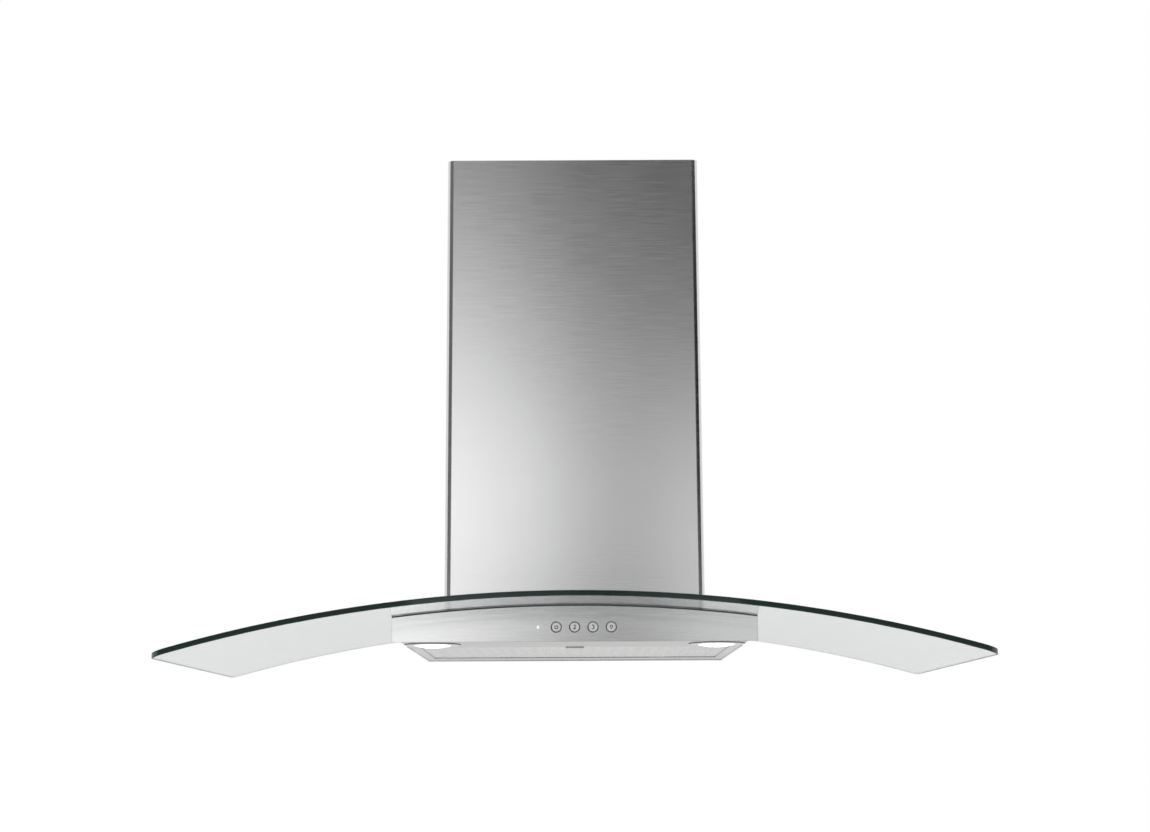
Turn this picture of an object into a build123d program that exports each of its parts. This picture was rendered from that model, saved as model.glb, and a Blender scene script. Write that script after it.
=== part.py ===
from build123d import *
import math
import os

# Wall-mounted range hood with a curved glass canopy, a steel body under it and a steel flue above.
#
# Millimetres. X runs across the hood, +Y points at the wall (the wall is y = 0), Z is up.
# The origin is on the wall plane, on the centre line, level with the underside of the body.

# ------------------------------------------------------------------ clearances
seat_gap = 0.3  # between curved faces, and round pieces that move
slip_gap = 0.1  # round a fixed insert in its hole, on the radius
running_gap = 0.06  # between a shaft or pin and its bearing, on the radius

# ------------------------------------------------------------------ glass canopy
glass_width = 898.0
glass_reach = 500.0  # wall to the middle of the front edge
glass_wall_gap = 2.0
glass_thickness = 6.0
glass_bend_radius = 1650.0  # of the underside, about an axis along Y
glass_apex_height = 41.0  # of the underside, on the centre line
glass_front_bow = 19.0  # how far the front edge falls back at its ends
glass_front_corner = 20.0
glass_rear_corner = 12.0
glass_edge_polish = 0.8
glass_notch_gap = 4.0  # between the notch and the blower box that stands in it
glass_notch_corner = 10.0
glass_screw_spacing = 270.0
glass_screw_setback = 20.0  # the screw rows, in from the front and the wall side of the blower box

# ------------------------------------------------------------------ body under the glass
body_width = 384.0
body_depth = 388.0  # wall to the front of the control fascia
body_sheet = 1.0
body_rim = 12.0  # side strips beside the filter opening
front_band = 94.0  # fascia to filter opening, where the lamps sit
rear_band = 50.0  # filter opening to wall
opening_upstand = 8.0
upstand_gap = 8.0  # break in the upstand, each side of the latch tongue
gasket_space = 2.0  # between the body's bent top and the glass
gasket_width = 12.0

# ------------------------------------------------------------------ control fascia and switches
fascia_width = 405.0
fascia_sheet = 1.2
fascia_return = 13.0
button_radius = 5.0
button_pitch = 20.3
button_offset = 10.15  # middle of the row of buttons, right of the centre line
button_height = 16.0
button_proud = 1.2
button_cap_length = 5.0
button_travel = 1.5
button_stem_radius = 2.0
stop_collar_radius = 3.2
stop_collar_thickness = 1.0
button_spring_wire = 0.25
button_spring_turns = 3
bezel_wall = 0.6
bezel_proud = 0.5
indicator_radius = 1.5
indicator_proud = 0.4
module_width = 116.0
module_height = 20.0
module_wall = 2.5
module_pocket_depth = 5.0
module_guide_length = 6.0
module_rear_depth = 8.0
board_thickness = 1.6
switch_block = 6.0
switch_block_height = 3.5
plunger_radius = 1.5

# ------------------------------------------------------------------ lamps
lamp_edge_inset = 32.0  # lamp centre, in from the side of the body
lamp_front_inset = 42.0  # lamp centre, back from the fascia
lamp_flange_radius = 31.0
lamp_flange_thickness = 1.5
lamp_barrel_radius = 28.2
lamp_barrel_height = 7.0
lamp_barrel_wall = 1.6
lamp_window_radius = 21.5
lamp_lens_thickness = 3.0
lamp_cup_height = 17.5
lamp_cup_sheet = 0.8
lamp_neck_radius = 7.0
lamp_bulb_radius = 4.5
lamp_bulb_length = 11.0
lamp_socket_height = 6.5
lamp_socket_width = 21.0
lamp_socket_depth = 16.8
lamp_socket_corner = 2.3

# ------------------------------------------------------------------ grease filter
filter_side_gap = 1.2  # cassette to the edge of the opening
filter_rise = 2.0  # underside of the cassette above the underside of the body
filter_thickness = 9.0
filter_rim = 12.0
filter_wall = 2.0
filter_lip = 1.0
filter_grille = 1.0
filter_columns = 24
filter_rows = 12
filter_cell_share = 0.6  # side of a diamond opening, as a share of the pitch
lug_width = 24.0
lug_spacing = 220.0
lug_reach = 10.0
lug_thickness = 1.5
hinge_inset = 0.5  # line the cassette swings on, in from the rear edge of its opening
latch_width = 24.0
latch_length = 16.0
latch_bar = 3.0
latch_height = 6.4
latch_travel = 5.0
latch_block_wall = 4.0
latch_key_reach = 1.8
latch_key_height = 1.8
latch_spring_room = 6.4
latch_spring_wire = 0.3
latch_spring_radius = 2.0
latch_spring_turns = 5
latch_tongue_width = 16.0
latch_tongue_reach = 8.1

# ------------------------------------------------------------------ flue covers
flue_width = 308.0
flue_depth = 260.0
flue_top_height = 599.0
flue_sheet = 0.8
flue_corner = 7.5
flue_return = 14.0
flue_wall_gap = 2.5
flue_slide_gap = 0.5
upper_flue_floor = 56.0
upper_flue_drop = 2.0  # top of the upper cover, below the top of the lower one
bracket_height = 30.0
bracket_drop = 10.0
bracket_sheet = 1.5
bracket_hole_radius = 3.25
bracket_hole_spacing = 200.0
bracket_tab = 20.0

# ------------------------------------------------------------------ blower box and hanging plate
hanging_sheet = 1.5
hanging_top_height = 345.0
wall_hole_radius = 4.0
wall_hole_spacing = 180.0
wall_hole_low = 70.0
wall_hole_high = 320.0
box_width = 236.0
box_depth = 232.0
box_top_height = 291.0
box_sheet = 1.0
box_flange = 15.0

# ------------------------------------------------------------------ fan
fan_axis_depth = 113.0  # from the wall
fan_axis_height = 150.0
impeller_radius = 75.0
impeller_half_width = 50.0
impeller_blades = 36
impeller_blade_depth = 12.0
impeller_blade_angle = 35.0
impeller_sheet = 1.4
hub_radius = 12.0
hub_length = 14.0
shaft_radius = 4.0
scroll_tongue_gap = 3.0  # impeller to the inner face of the tongue arc
scroll_growth = 8.0  # radius gained in each quarter turn
scroll_wall = 2.0
scroll_side_gap = 5.5
scroll_tongue_angle = 50.0
scroll_inlet_radius = 58.0
scroll_inlet_lip = 5.5
scroll_mouth_height = 100.0  # above the fan's axis
scroll_mouth_near = 15.0  # near edge of the mouth, behind the fan's axis
motor_radius = 38.0
motor_nose = 10.0  # from the hub disc to the motor's near face
motor_edge = 4.0
bush_radius = 8.0
bush_length = 8.0
spider_sheet = 2.5
spider_arm_width = 12.0
spider_hub_radius = 30.0
spider_rim = 8.0

# ------------------------------------------------------------------ air outlet
collar_radius = 74.5
collar_wall = 2.0
collar_height = 50.0
collar_flange = 8.0
collar_flange_trim = 2.0  # straight edge of the flange, in front of the rear of the box
collar_flange_thickness = 3.0
collar_depth = 82.0  # centre of the collar, from the wall
flap_pin_radius = 1.5
flap_pin_height = 24.0  # above the top of the box
flap_thickness = 1.2
flap_knuckle_wall = 1.7
flap_knuckle_length = 10.0
flap_knuckle_inner = 19.2  # middles of a flap's two knuckles, either side of the centre line
flap_knuckle_outer = 44.8
flap_drop = 1.8  # top of the flap below the middle of its pin
ledge_width = 2.5
ledge_thickness = 2.0

# ------------------------------------------------------------------ electrics on the box
junction_width = 100.0
junction_depth = 60.0
junction_height = 26.0
junction_wall = 2.5
junction_lid = 3.0
gland_bore_radius = 4.5
gland_radius = 9.0
gland_height = 16.0
transformer_width = 29.0
transformer_length = 100.0
transformer_height = 26.0
capacitor_radius = 15.0
capacitor_length = 60.0
capacitor_height = 165.0  # its foot, above the underside of the body
clip_sheet = 1.0
clip_width = 14.0

# ------------------------------------------------------------------ fasteners
glass_screw_radius = 2.5
box_screw_radius = 2.0
screw_head_ratio = 1.9
screw_head_height = 2.8
grommet_flange = 8.0
grommet_thickness = 1.5
nut_height = 4.0

# ================================================================== places worked out from the sizes
bend_axis_height = glass_apex_height - glass_bend_radius
glass_top_radius = glass_bend_radius + glass_thickness
body_top_radius = glass_bend_radius - gasket_space
body_front = -(body_depth - fascia_sheet)
body_rear = -hanging_sheet
opening_half = body_width / 2 - body_rim
opening_front = -(body_depth - front_band)
opening_rear = -rear_band
opening_depth = opening_rear - opening_front
opening_middle = (opening_rear + opening_front) / 2
lamp_y = -(body_depth - lamp_front_inset)
lamp_x = body_width / 2 - lamp_edge_inset
box_half = box_width / 2
box_front = -box_depth
box_rear = -hanging_sheet
box_inside_front = box_front + box_sheet
glass_screw_rows = (box_front + glass_screw_setback, box_rear - glass_screw_setback * 2)
glass_screw_places = [
    (side * glass_screw_spacing / 2, row) for side in (-1, 1) for row in glass_screw_rows
]
box_screw_places = [
    (side * (box_half - box_flange / 2), row)
    for side in (-1, 1)
    for row in (box_front + 1.5 * box_flange, box_rear - 1.5 * box_flange)
]


def facing(y):
    """The plane parallel to the wall at this y, drawn as seen from the room."""
    return Plane.XZ.offset(-y)


def bend_height(radius, x):
    """Height, at x, of a layer of this radius bent about the glass's own axis."""
    return bend_axis_height + math.sqrt(radius**2 - x**2)


def bend_arc(radius, half_width):
    """The line of a bent layer, from one side to the other."""
    side_height = bend_height(radius, half_width)
    return ThreePointArc(
        (-half_width, side_height), (0, bend_height(radius, 0)), (half_width, side_height)
    )


def draw_layer(plane, inner_radius, outer_radius, half_width):
    """Cross-section of a layer that is bent with the glass."""
    with BuildSketch(plane) as section:
        with BuildLine():
            under = bend_arc(inner_radius, half_width)
            over = bend_arc(outer_radius, half_width)
            Line(under @ 0, over @ 0)
            Line(under @ 1, over @ 1)
        make_face()
    return section.sketch


def draw_under(plane, radius, half_width, floor):
    """Everything between a level floor and a bent layer above it."""
    with BuildSketch(plane) as section:
        with BuildLine():
            top = bend_arc(radius, half_width)
            Polyline(top @ 1, (half_width, floor), (-half_width, floor), top @ 0)
        make_face()
    return section.sketch


def on_bend(radius, place):
    """A plane lying on a bent layer, square to the line that leaves the glass underside at this place."""
    x, y = place
    lean = math.asin(x / glass_bend_radius)
    up = (math.sin(lean), 0, math.cos(lean))
    return Plane(
        origin=(radius * up[0], y, bend_axis_height + radius * up[2]), x_dir=(0, 1, 0), z_dir=up
    )


def on_bends(radius, places):
    """The same plane at each of several places."""
    return [on_bend(radius, place) for place in places]


# ================================================================== glass canopy
# One sheet of toughened glass, bent across its width, with a bowed front edge.
# A notch in the rear edge lets the blower box through, and four holes take its screws.
notch_half = box_half + glass_notch_gap
notch_front = box_front - glass_notch_gap
side_front = -(glass_reach - glass_front_bow)

with BuildPart() as glass_canopy:
    with BuildSketch() as glass_outline:
        with BuildLine():
            front_edge = ThreePointArc(
                (-glass_width / 2, side_front), (0, -glass_reach), (glass_width / 2, side_front)
            )
            Polyline(
                front_edge @ 1,
                (glass_width / 2, -glass_wall_gap),
                (-glass_width / 2, -glass_wall_gap),
                front_edge @ 0,
            )
        make_face()
        fillet(glass_outline.vertices().group_by(Axis.Y)[0], glass_front_corner)
        fillet(glass_outline.vertices().group_by(Axis.Y)[-1], glass_rear_corner)
        RectangleRounded(2 * notch_half, -2 * notch_front, glass_notch_corner, mode=Mode.SUBTRACT)
    extrude(amount=glass_width / 4, both=True)
    extrude(
        draw_layer(facing(0), glass_bend_radius, glass_top_radius, glass_width),
        amount=glass_reach,
        mode=Mode.INTERSECT,
    )
    broad_faces = glass_canopy.faces().sort_by(SortBy.AREA)[-2:]
    fillet(broad_faces.edges(), glass_edge_polish)
    with BuildSketch(*on_bends(glass_bend_radius, glass_screw_places)):
        Circle(glass_screw_radius + grommet_thickness)
    extrude(amount=2 * glass_thickness, both=True, mode=Mode.SUBTRACT)
glass_canopy.part.label = "glass_canopy"
export_step(glass_canopy.part, "parts/glass_canopy.step")

# ================================================================== body shell
# Folded steel tray: flat underside, side walls that rise to the glass, and a bent top that carries it.
switch_window_height = 3 * button_radius
shell_inside_half = body_width / 2 - body_sheet
shell_inside_radius = body_top_radius - body_sheet
shell_inside_rear = facing(body_rear - body_sheet)
with BuildPart() as body_shell:
    extrude(
        draw_under(facing(body_rear), body_top_radius, body_width / 2, 0),
        amount=body_rear - body_front,
    )
    extrude(
        draw_under(shell_inside_rear, shell_inside_radius, shell_inside_half, body_sheet),
        amount=body_rear - body_front - 2 * body_sheet,
        mode=Mode.SUBTRACT,
    )
    # filter opening, lamp holes
    with BuildSketch():
        with Locations((0, opening_middle)):
            Rectangle(2 * opening_half, opening_depth)
        with Locations((-lamp_x, lamp_y), (lamp_x, lamp_y)):
            Circle(lamp_barrel_radius + seat_gap)
    extrude(amount=body_sheet, mode=Mode.SUBTRACT)
    # upstand round three sides of the filter opening, with a gap for the latch
    with BuildSketch(Plane.XY.offset(body_sheet)):
        with Locations((0, opening_middle - body_sheet / 2)):
            Rectangle(2 * (opening_half + body_sheet), opening_depth + body_sheet)
        with Locations((0, opening_middle)):
            Rectangle(2 * opening_half, opening_depth, mode=Mode.SUBTRACT)
        with Locations((0, opening_front)):
            Rectangle(latch_tongue_width + 2 * upstand_gap, 4 * body_sheet, mode=Mode.SUBTRACT)
    extrude(amount=opening_upstand)
    # air passage up into the blower box
    with BuildSketch(Plane.XY.offset(glass_apex_height / 2)):
        with Locations((0, (box_rear + box_front) / 2)):
            Rectangle(box_width - 2 * box_flange, box_depth - hanging_sheet - 2 * box_flange)
    extrude(amount=glass_apex_height, mode=Mode.SUBTRACT)
    # window for the indicator and the four buttons, which are evenly spaced
    with BuildSketch(facing(body_front + body_sheet)):
        with Locations((button_offset - button_pitch / 2, button_height)):
            SlotCenterToCenter(4 * button_pitch, switch_window_height)
    extrude(amount=body_sheet, mode=Mode.SUBTRACT)
    # screw holes in the bent top
    with BuildSketch(*on_bends(body_top_radius, glass_screw_places)):
        Circle(glass_screw_radius + slip_gap)
    extrude(amount=2 * body_sheet, both=True, mode=Mode.SUBTRACT)
    with BuildSketch(*on_bends(body_top_radius, box_screw_places)):
        Circle(box_screw_radius + slip_gap)
    extrude(amount=2 * body_sheet, both=True, mode=Mode.SUBTRACT)
body_shell.part.label = "body_shell"
export_step(body_shell.part, "parts/body_shell.step")

# ================================================================== glass gasket and glass fixings
# Foam strip on the rim of the bent top, so that glass never meets steel.
gasket_half = body_width / 2 - body_sheet
gasket_front = body_front + body_sheet
gasket_rear = -glass_wall_gap - body_sheet
gasket_under = body_top_radius + slip_gap
gasket_over = glass_bend_radius - slip_gap
with BuildPart() as glass_gasket:
    extrude(
        draw_layer(facing(gasket_rear), gasket_under, gasket_over, gasket_half),
        amount=gasket_rear - gasket_front,
    )
    with BuildSketch():
        with Locations((0, (gasket_front + gasket_width) / 2)):
            Rectangle(2 * (gasket_half - gasket_width), -gasket_front - gasket_width)
    extrude(amount=2 * glass_apex_height, mode=Mode.SUBTRACT)
glass_gasket.part.label = "glass_gasket"
export_step(glass_gasket.part, "parts/glass_gasket.step")

# Rubber grommets line the glass holes, and a wide flange spreads each screw's load.
grommet_seat = glass_top_radius + slip_gap
with BuildPart() as glass_grommets:
    with BuildSketch(*on_bends(grommet_seat, glass_screw_places)):
        Circle(grommet_flange)
    extrude(amount=grommet_thickness)
    with BuildSketch(*on_bends(grommet_seat, glass_screw_places)):
        Circle(glass_screw_radius + grommet_thickness - slip_gap)
    extrude(amount=-glass_thickness)
    with BuildSketch(*on_bends(grommet_seat, glass_screw_places)):
        Circle(glass_screw_radius + slip_gap)
    extrude(amount=2 * glass_thickness, both=True, mode=Mode.SUBTRACT)
glass_grommets.part.label = "glass_grommets"
export_step(glass_grommets.part, "parts/glass_grommets.step")

head_seat = grommet_seat + grommet_thickness
nut_seat = body_top_radius - body_sheet - slip_gap
with BuildPart() as glass_screws:
    with BuildSketch(*on_bends(head_seat, glass_screw_places)):
        Circle(glass_screw_radius * screw_head_ratio)
    extrude(amount=screw_head_height)
    with BuildSketch(*on_bends(head_seat, glass_screw_places)):
        Circle(glass_screw_radius)
    extrude(amount=-(head_seat - nut_seat + nut_height))
glass_screws.part.label = "glass_screws"
export_step(glass_screws.part, "parts/glass_screws.step")

# Rivet nuts under the body's bent top, for the glass screws and the blower box screws.
with BuildPart() as body_nuts:
    with BuildSketch(*on_bends(nut_seat, glass_screw_places)):
        RegularPolygon(glass_screw_radius * screw_head_ratio, 6)
        Circle(glass_screw_radius + slip_gap, mode=Mode.SUBTRACT)
    with BuildSketch(*on_bends(nut_seat, box_screw_places)):
        RegularPolygon(box_screw_radius * screw_head_ratio, 6)
        Circle(box_screw_radius + slip_gap, mode=Mode.SUBTRACT)
    extrude(amount=-nut_height)
body_nuts.part.label = "body_nuts"
export_step(body_nuts.part, "parts/body_nuts.step")

# ================================================================== control fascia
# Brushed steel front strip, folded back at both ends; its upper edge follows the glass.
button_places = [
    (button_offset + (index - 1.5) * button_pitch, button_height) for index in range(4)
]
indicator_place = (button_offset - 2.5 * button_pitch, button_height)
bezel_radius = button_radius + seat_gap + bezel_wall
fascia_top_radius = glass_bend_radius - seat_gap
fascia_return_rear = body_front + fascia_return
with BuildPart() as control_fascia:
    extrude(
        draw_under(facing(fascia_return_rear), fascia_top_radius, fascia_width / 2, 0),
        amount=fascia_return + fascia_sheet,
    )
    with BuildSketch(facing(fascia_return_rear)):
        with Locations((0, glass_apex_height / 2)):
            Rectangle(fascia_width - 2 * fascia_sheet, 2 * glass_apex_height)
    extrude(amount=fascia_return, mode=Mode.SUBTRACT)
    with BuildSketch(facing(body_front)):
        with Locations(*button_places):
            Circle(bezel_radius + slip_gap)
        with Locations(indicator_place):
            Circle(indicator_radius + slip_gap)
    extrude(amount=fascia_sheet, mode=Mode.SUBTRACT)
control_fascia.part.label = "control_fascia"
export_step(control_fascia.part, "parts/control_fascia.step")

# Dark moulded rings that line the four button holes.
fascia_front = -body_depth
with BuildPart() as button_bezels:
    with BuildSketch(facing(body_front)):
        with Locations(*button_places):
            Circle(bezel_radius)
            Circle(button_radius + seat_gap, mode=Mode.SUBTRACT)
    extrude(amount=fascia_sheet + bezel_proud)
button_bezels.part.label = "button_bezels"
export_step(button_bezels.part, "parts/button_bezels.step")

# ================================================================== switch module
# Moulded housing behind the body's front wall: a pocket and a guide hole for each button,
# and a rear cavity that its circuit board closes.
module_front = body_front + body_sheet
pocket_floor = module_front + module_pocket_depth
guide_end = pocket_floor + module_guide_length
module_rear = guide_end + module_rear_depth
board_rear = module_rear + board_thickness
with BuildPart() as switch_module:
    with BuildSketch(facing(module_rear)):
        with Locations((0, button_height)):
            Rectangle(module_width, module_height)
    extrude(amount=module_rear - module_front)
    with BuildSketch(facing(module_rear)):
        with Locations((0, button_height)):
            Rectangle(module_width - 4 * module_wall, module_height - 2 * module_wall)
    extrude(amount=module_rear_depth, mode=Mode.SUBTRACT)
    with BuildSketch(facing(pocket_floor)):
        with Locations(*button_places):
            Circle(button_radius + seat_gap)
    extrude(amount=module_pocket_depth, mode=Mode.SUBTRACT)
    with BuildSketch(facing(guide_end)):
        with Locations(*button_places):
            Circle(button_stem_radius + running_gap)
        with Locations(indicator_place):
            Circle(indicator_radius + slip_gap)
    extrude(amount=module_guide_length + module_pocket_depth, mode=Mode.SUBTRACT)
switch_module.part.label = "switch_module"
export_step(switch_module.part, "parts/switch_module.step")

# Buttons: a round cap, a stem that runs in the guide, and a collar behind it that stops the button.
stem_end = guide_end + seat_gap + 2 * stop_collar_thickness
cap_front = fascia_front - button_proud
cap_rear = cap_front + button_cap_length
button_names = ["button_power", "button_speed_2", "button_speed_3", "button_light"]
for button_name, place in zip(button_names, button_places):
    with BuildPart() as button:
        with BuildSketch(facing(cap_rear)):
            with Locations(place):
                Circle(button_radius)
        extrude(amount=button_cap_length)
        chamfer(button.edges().group_by(Axis.Y)[0], bezel_wall)
        with BuildSketch(facing(stem_end)):
            with Locations(place):
                Circle(button_stem_radius)
        extrude(amount=stem_end - cap_rear)
        with BuildSketch(facing(guide_end + seat_gap + stop_collar_thickness)):
            with Locations(place):
                Circle(stop_collar_radius)
        extrude(amount=stop_collar_thickness)
    button.part.label = button_name
    export_step(button.part, f"parts/{button_name}.step")

# Return springs, one round each stem, between the cap and the floor of its pocket.
button_spring_radius = (button_radius + button_stem_radius) / 2
button_spring_room = pocket_floor - cap_rear
button_spring_length = button_spring_room - 2 * (button_spring_wire + slip_gap)
for button_name, place in zip(button_names, button_places):
    spring_name = button_name.replace("button", "spring")
    spring_start = (place[0], pocket_floor - button_spring_wire - slip_gap, place[1])
    with BuildPart() as button_spring:
        with BuildLine():
            coil = Helix(
                pitch=button_spring_length / button_spring_turns,
                height=button_spring_length,
                radius=button_spring_radius,
                center=spring_start,
                direction=(0, -1, 0),
            )
        with BuildSketch(Plane(origin=coil @ 0, z_dir=coil % 0)):
            Circle(button_spring_wire)
        sweep()
    button_spring.part.label = spring_name
    export_step(button_spring.part, f"parts/{spring_name}.step")

# Light pipe of the indicator, pressed into the fascia in front of the circuit board.
plunger_reach = stem_end + button_travel + seat_gap
with BuildPart() as indicator_lens:
    with BuildSketch(facing(module_rear - switch_block_height)):
        with Locations(indicator_place):
            Circle(indicator_radius)
    extrude(amount=module_rear - switch_block_height - fascia_front + indicator_proud)
indicator_lens.part.label = "indicator_lens"
export_step(indicator_lens.part, "parts/indicator_lens.step")

with BuildPart() as switch_board:
    with BuildSketch(facing(board_rear)):
        with Locations((0, button_height)):
            Rectangle(module_width, module_height)
    extrude(amount=board_thickness)
    with BuildSketch(facing(module_rear)):
        with Locations(*button_places, indicator_place):
            Rectangle(switch_block, switch_block)
    extrude(amount=switch_block_height - slip_gap)
    with BuildSketch(facing(module_rear)):
        with Locations(*button_places):
            Circle(plunger_radius)
    extrude(amount=module_rear - plunger_reach)
switch_board.part.label = "switch_board"
export_step(switch_board.part, "parts/switch_board.step")


# ================================================================== lamps
# Two recessed halogen lamps: bezel, glass window, spun reflector, capsule bulb and ceramic socket.
def lamp_plane(x):
    """The upright plane through a lamp's axis, with its radius along X."""
    return Plane(origin=(x, lamp_y, 0), x_dir=(1, 0, 0), z_dir=(0, -1, 0))


cup_floor = lamp_lens_thickness
cup_top = cup_floor + lamp_cup_height
cup_radius = lamp_barrel_radius - lamp_barrel_wall - 2 * seat_gap
for side_name, lamp_side in (("left", -1), ("right", 1)):
    lamp_centre = lamp_side * lamp_x
    lamp_axis = Axis((lamp_centre, lamp_y, 0), (0, 0, 1))
    with BuildPart() as lamp_bezel:
        with BuildSketch(lamp_plane(lamp_centre)):
            with BuildLine():
                Polyline(
                    (lamp_window_radius, 0),
                    (lamp_window_radius, -lamp_flange_thickness / 2),
                    (lamp_window_radius + lamp_flange_thickness, -lamp_flange_thickness),
                    (lamp_flange_radius - lamp_flange_thickness, -lamp_flange_thickness),
                    (lamp_flange_radius, -lamp_flange_thickness / 2),
                    (lamp_flange_radius, 0),
                    (lamp_barrel_radius, 0),
                    (lamp_barrel_radius, lamp_barrel_height),
                    (lamp_barrel_radius - lamp_barrel_wall, lamp_barrel_height),
                    (lamp_barrel_radius - lamp_barrel_wall, 0),
                    close=True,
                )
            make_face()
        revolve(axis=lamp_axis)
    lamp_bezel.part.label = f"lamp_bezel_{side_name}"
    export_step(lamp_bezel.part, f"parts/lamp_bezel_{side_name}.step")

    with BuildPart() as lamp_lens:
        with BuildSketch():
            with Locations((lamp_centre, lamp_y)):
                Circle(lamp_barrel_radius - lamp_barrel_wall - seat_gap)
        extrude(amount=lamp_lens_thickness)
    lamp_lens.part.label = f"lamp_lens_{side_name}"
    export_step(lamp_lens.part, f"parts/lamp_lens_{side_name}.step")

    with BuildPart() as lamp_reflector:
        with BuildSketch(lamp_plane(lamp_centre)):
            with BuildLine():
                inner = RadiusArc(
                    (cup_radius - lamp_cup_sheet, cup_floor), (lamp_neck_radius, cup_top), -cup_radius
                )
                outer = RadiusArc(
                    (cup_radius, cup_floor),
                    (lamp_neck_radius + lamp_cup_sheet, cup_top),
                    -cup_radius,
                )
                Line(inner @ 0, outer @ 0)
                Line(inner @ 1, outer @ 1)
            make_face()
        revolve(axis=lamp_axis)
    lamp_reflector.part.label = f"lamp_reflector_{side_name}"
    export_step(lamp_reflector.part, f"parts/lamp_reflector_{side_name}.step")

    with BuildPart() as lamp_bulb:
        with BuildSketch(Plane.XY.offset(cup_top - lamp_bulb_length)):
            with Locations((lamp_centre, lamp_y)):
                Circle(lamp_bulb_radius)
        extrude(amount=lamp_bulb_length)
        fillet(lamp_bulb.edges().group_by(Axis.Z)[0], 0.6 * lamp_bulb_radius)
    lamp_bulb.part.label = f"lamp_bulb_{side_name}"
    export_step(lamp_bulb.part, f"parts/lamp_bulb_{side_name}.step")

    with BuildPart() as lamp_socket:
        with BuildSketch(Plane.XY.offset(cup_top)):
            with Locations((lamp_centre, lamp_y)):
                RectangleRounded(lamp_socket_width, lamp_socket_depth, lamp_socket_corner)
        extrude(amount=lamp_socket_height)
    lamp_socket.part.label = f"lamp_socket_{side_name}"
    export_step(lamp_socket.part, f"parts/lamp_socket_{side_name}.step")

# ================================================================== grease filter
# Aluminium cassette. Two rear lugs rest on the body's rear band and act as its hinge;
# a sprung latch in the front rail hooks over the front of the opening.
filter_half = opening_half - filter_side_gap
filter_front = opening_front + filter_side_gap
filter_rear = opening_rear - filter_side_gap
filter_depth = filter_rear - filter_front
filter_top = filter_rise + filter_thickness
hinge_y = opening_rear - hinge_inset
lug_floor = body_sheet + seat_gap
latch_front = filter_front + latch_bar - seat_gap
latch_rear = latch_front + latch_length
latch_pocket_rear = latch_rear + latch_spring_room
latch_block_half = latch_width / 2 + latch_block_wall
latch_block_rear = latch_pocket_rear + latch_bar
latch_floor = body_sheet + seat_gap
latch_top = latch_floor + latch_height
key_floor = latch_floor + latch_height / 2
with BuildPart() as filter_frame:
    with BuildSketch(Plane.XY.offset(filter_rise)):
        with Locations((0, opening_middle)):
            RectangleRounded(2 * filter_half, filter_depth, filter_wall)
    extrude(amount=filter_thickness)
    with BuildSketch(Plane.XY.offset(filter_rise)):
        with Locations((0, opening_middle)):
            Rectangle(2 * (filter_half - filter_rim), filter_depth - 2 * filter_rim)
    extrude(amount=filter_thickness, mode=Mode.SUBTRACT)
    with BuildSketch(Plane.XY.offset(filter_rise + filter_lip)):
        with Locations((0, opening_middle)):
            Rectangle(2 * (filter_half - filter_wall), filter_depth - 2 * filter_wall)
    extrude(amount=filter_thickness - 2 * filter_lip, mode=Mode.SUBTRACT)
    # block that houses the latch
    with BuildSketch(Plane.XY.offset(filter_rise)):
        with Locations((0, (filter_front + latch_block_rear) / 2)):
            Rectangle(2 * latch_block_half, latch_block_rear - filter_front)
    extrude(amount=filter_thickness)
    with BuildSketch(Plane.XY.offset(filter_rise)):
        with Locations((0, (latch_front - seat_gap + latch_pocket_rear) / 2)):
            Rectangle(latch_width + 2 * seat_gap, latch_pocket_rear - latch_front + seat_gap)
        with Locations((0, latch_front)):
            Rectangle(latch_tongue_width + 2 * seat_gap, 4 * latch_bar)
    extrude(amount=latch_top - filter_rise + seat_gap, mode=Mode.SUBTRACT)
    with BuildSketch(Plane.XY.offset(key_floor - seat_gap)):
        with Locations((0, (latch_front - seat_gap + latch_rear + latch_travel + seat_gap) / 2)):
            Rectangle(
                latch_width + 2 * (latch_key_reach + seat_gap),
                latch_length + latch_travel + 2 * seat_gap,
            )
    extrude(amount=latch_key_height + 2 * seat_gap, mode=Mode.SUBTRACT)
    # rear lugs
    with BuildSketch(Plane.XY.offset(lug_floor)):
        with Locations((-lug_spacing / 2, hinge_y), (lug_spacing / 2, hinge_y)):
            Rectangle(lug_width, 2 * lug_reach)
        with Locations((0, filter_rear - filter_wall - lug_reach)):
            Rectangle(2 * lug_spacing, 2 * lug_reach, mode=Mode.SUBTRACT)
    extrude(amount=lug_thickness)
filter_frame.part.label = "filter_frame"
export_step(filter_frame.part, "parts/filter_frame.step")

panel_half = filter_half - filter_wall - seat_gap
panel_depth = filter_depth - 2 * (filter_wall + seat_gap)
cell_pitch_x = 2 * (filter_half - filter_rim) / filter_columns
cell_pitch_y = (filter_depth - 2 * filter_rim) / filter_rows
cell_side = filter_cell_share * cell_pitch_x
block_notch_width = 2 * (latch_block_half + seat_gap)
block_notch_depth = 2 * (latch_block_rear + seat_gap - filter_front)


def draw_panel(plane):
    """Outline of the cassette's inner layers, cut away round the latch block."""
    with BuildSketch(plane) as panel:
        with Locations((0, opening_middle)):
            Rectangle(2 * panel_half, panel_depth)
        with Locations((0, filter_front)):
            Rectangle(block_notch_width, block_notch_depth, mode=Mode.SUBTRACT)
    return panel.sketch


def draw_cells(plane):
    """Diamond openings of an expanded grille."""
    with BuildSketch(plane) as cells:
        with Locations((0, opening_middle)):
            with GridLocations(cell_pitch_x, cell_pitch_y, filter_columns, filter_rows):
                Rectangle(cell_side, cell_side, rotation=45)
        with Locations((0, filter_front)):
            Rectangle(
                block_notch_width + cell_pitch_x,
                block_notch_depth + cell_pitch_y,
                mode=Mode.SUBTRACT,
            )
    return cells.sketch


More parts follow.
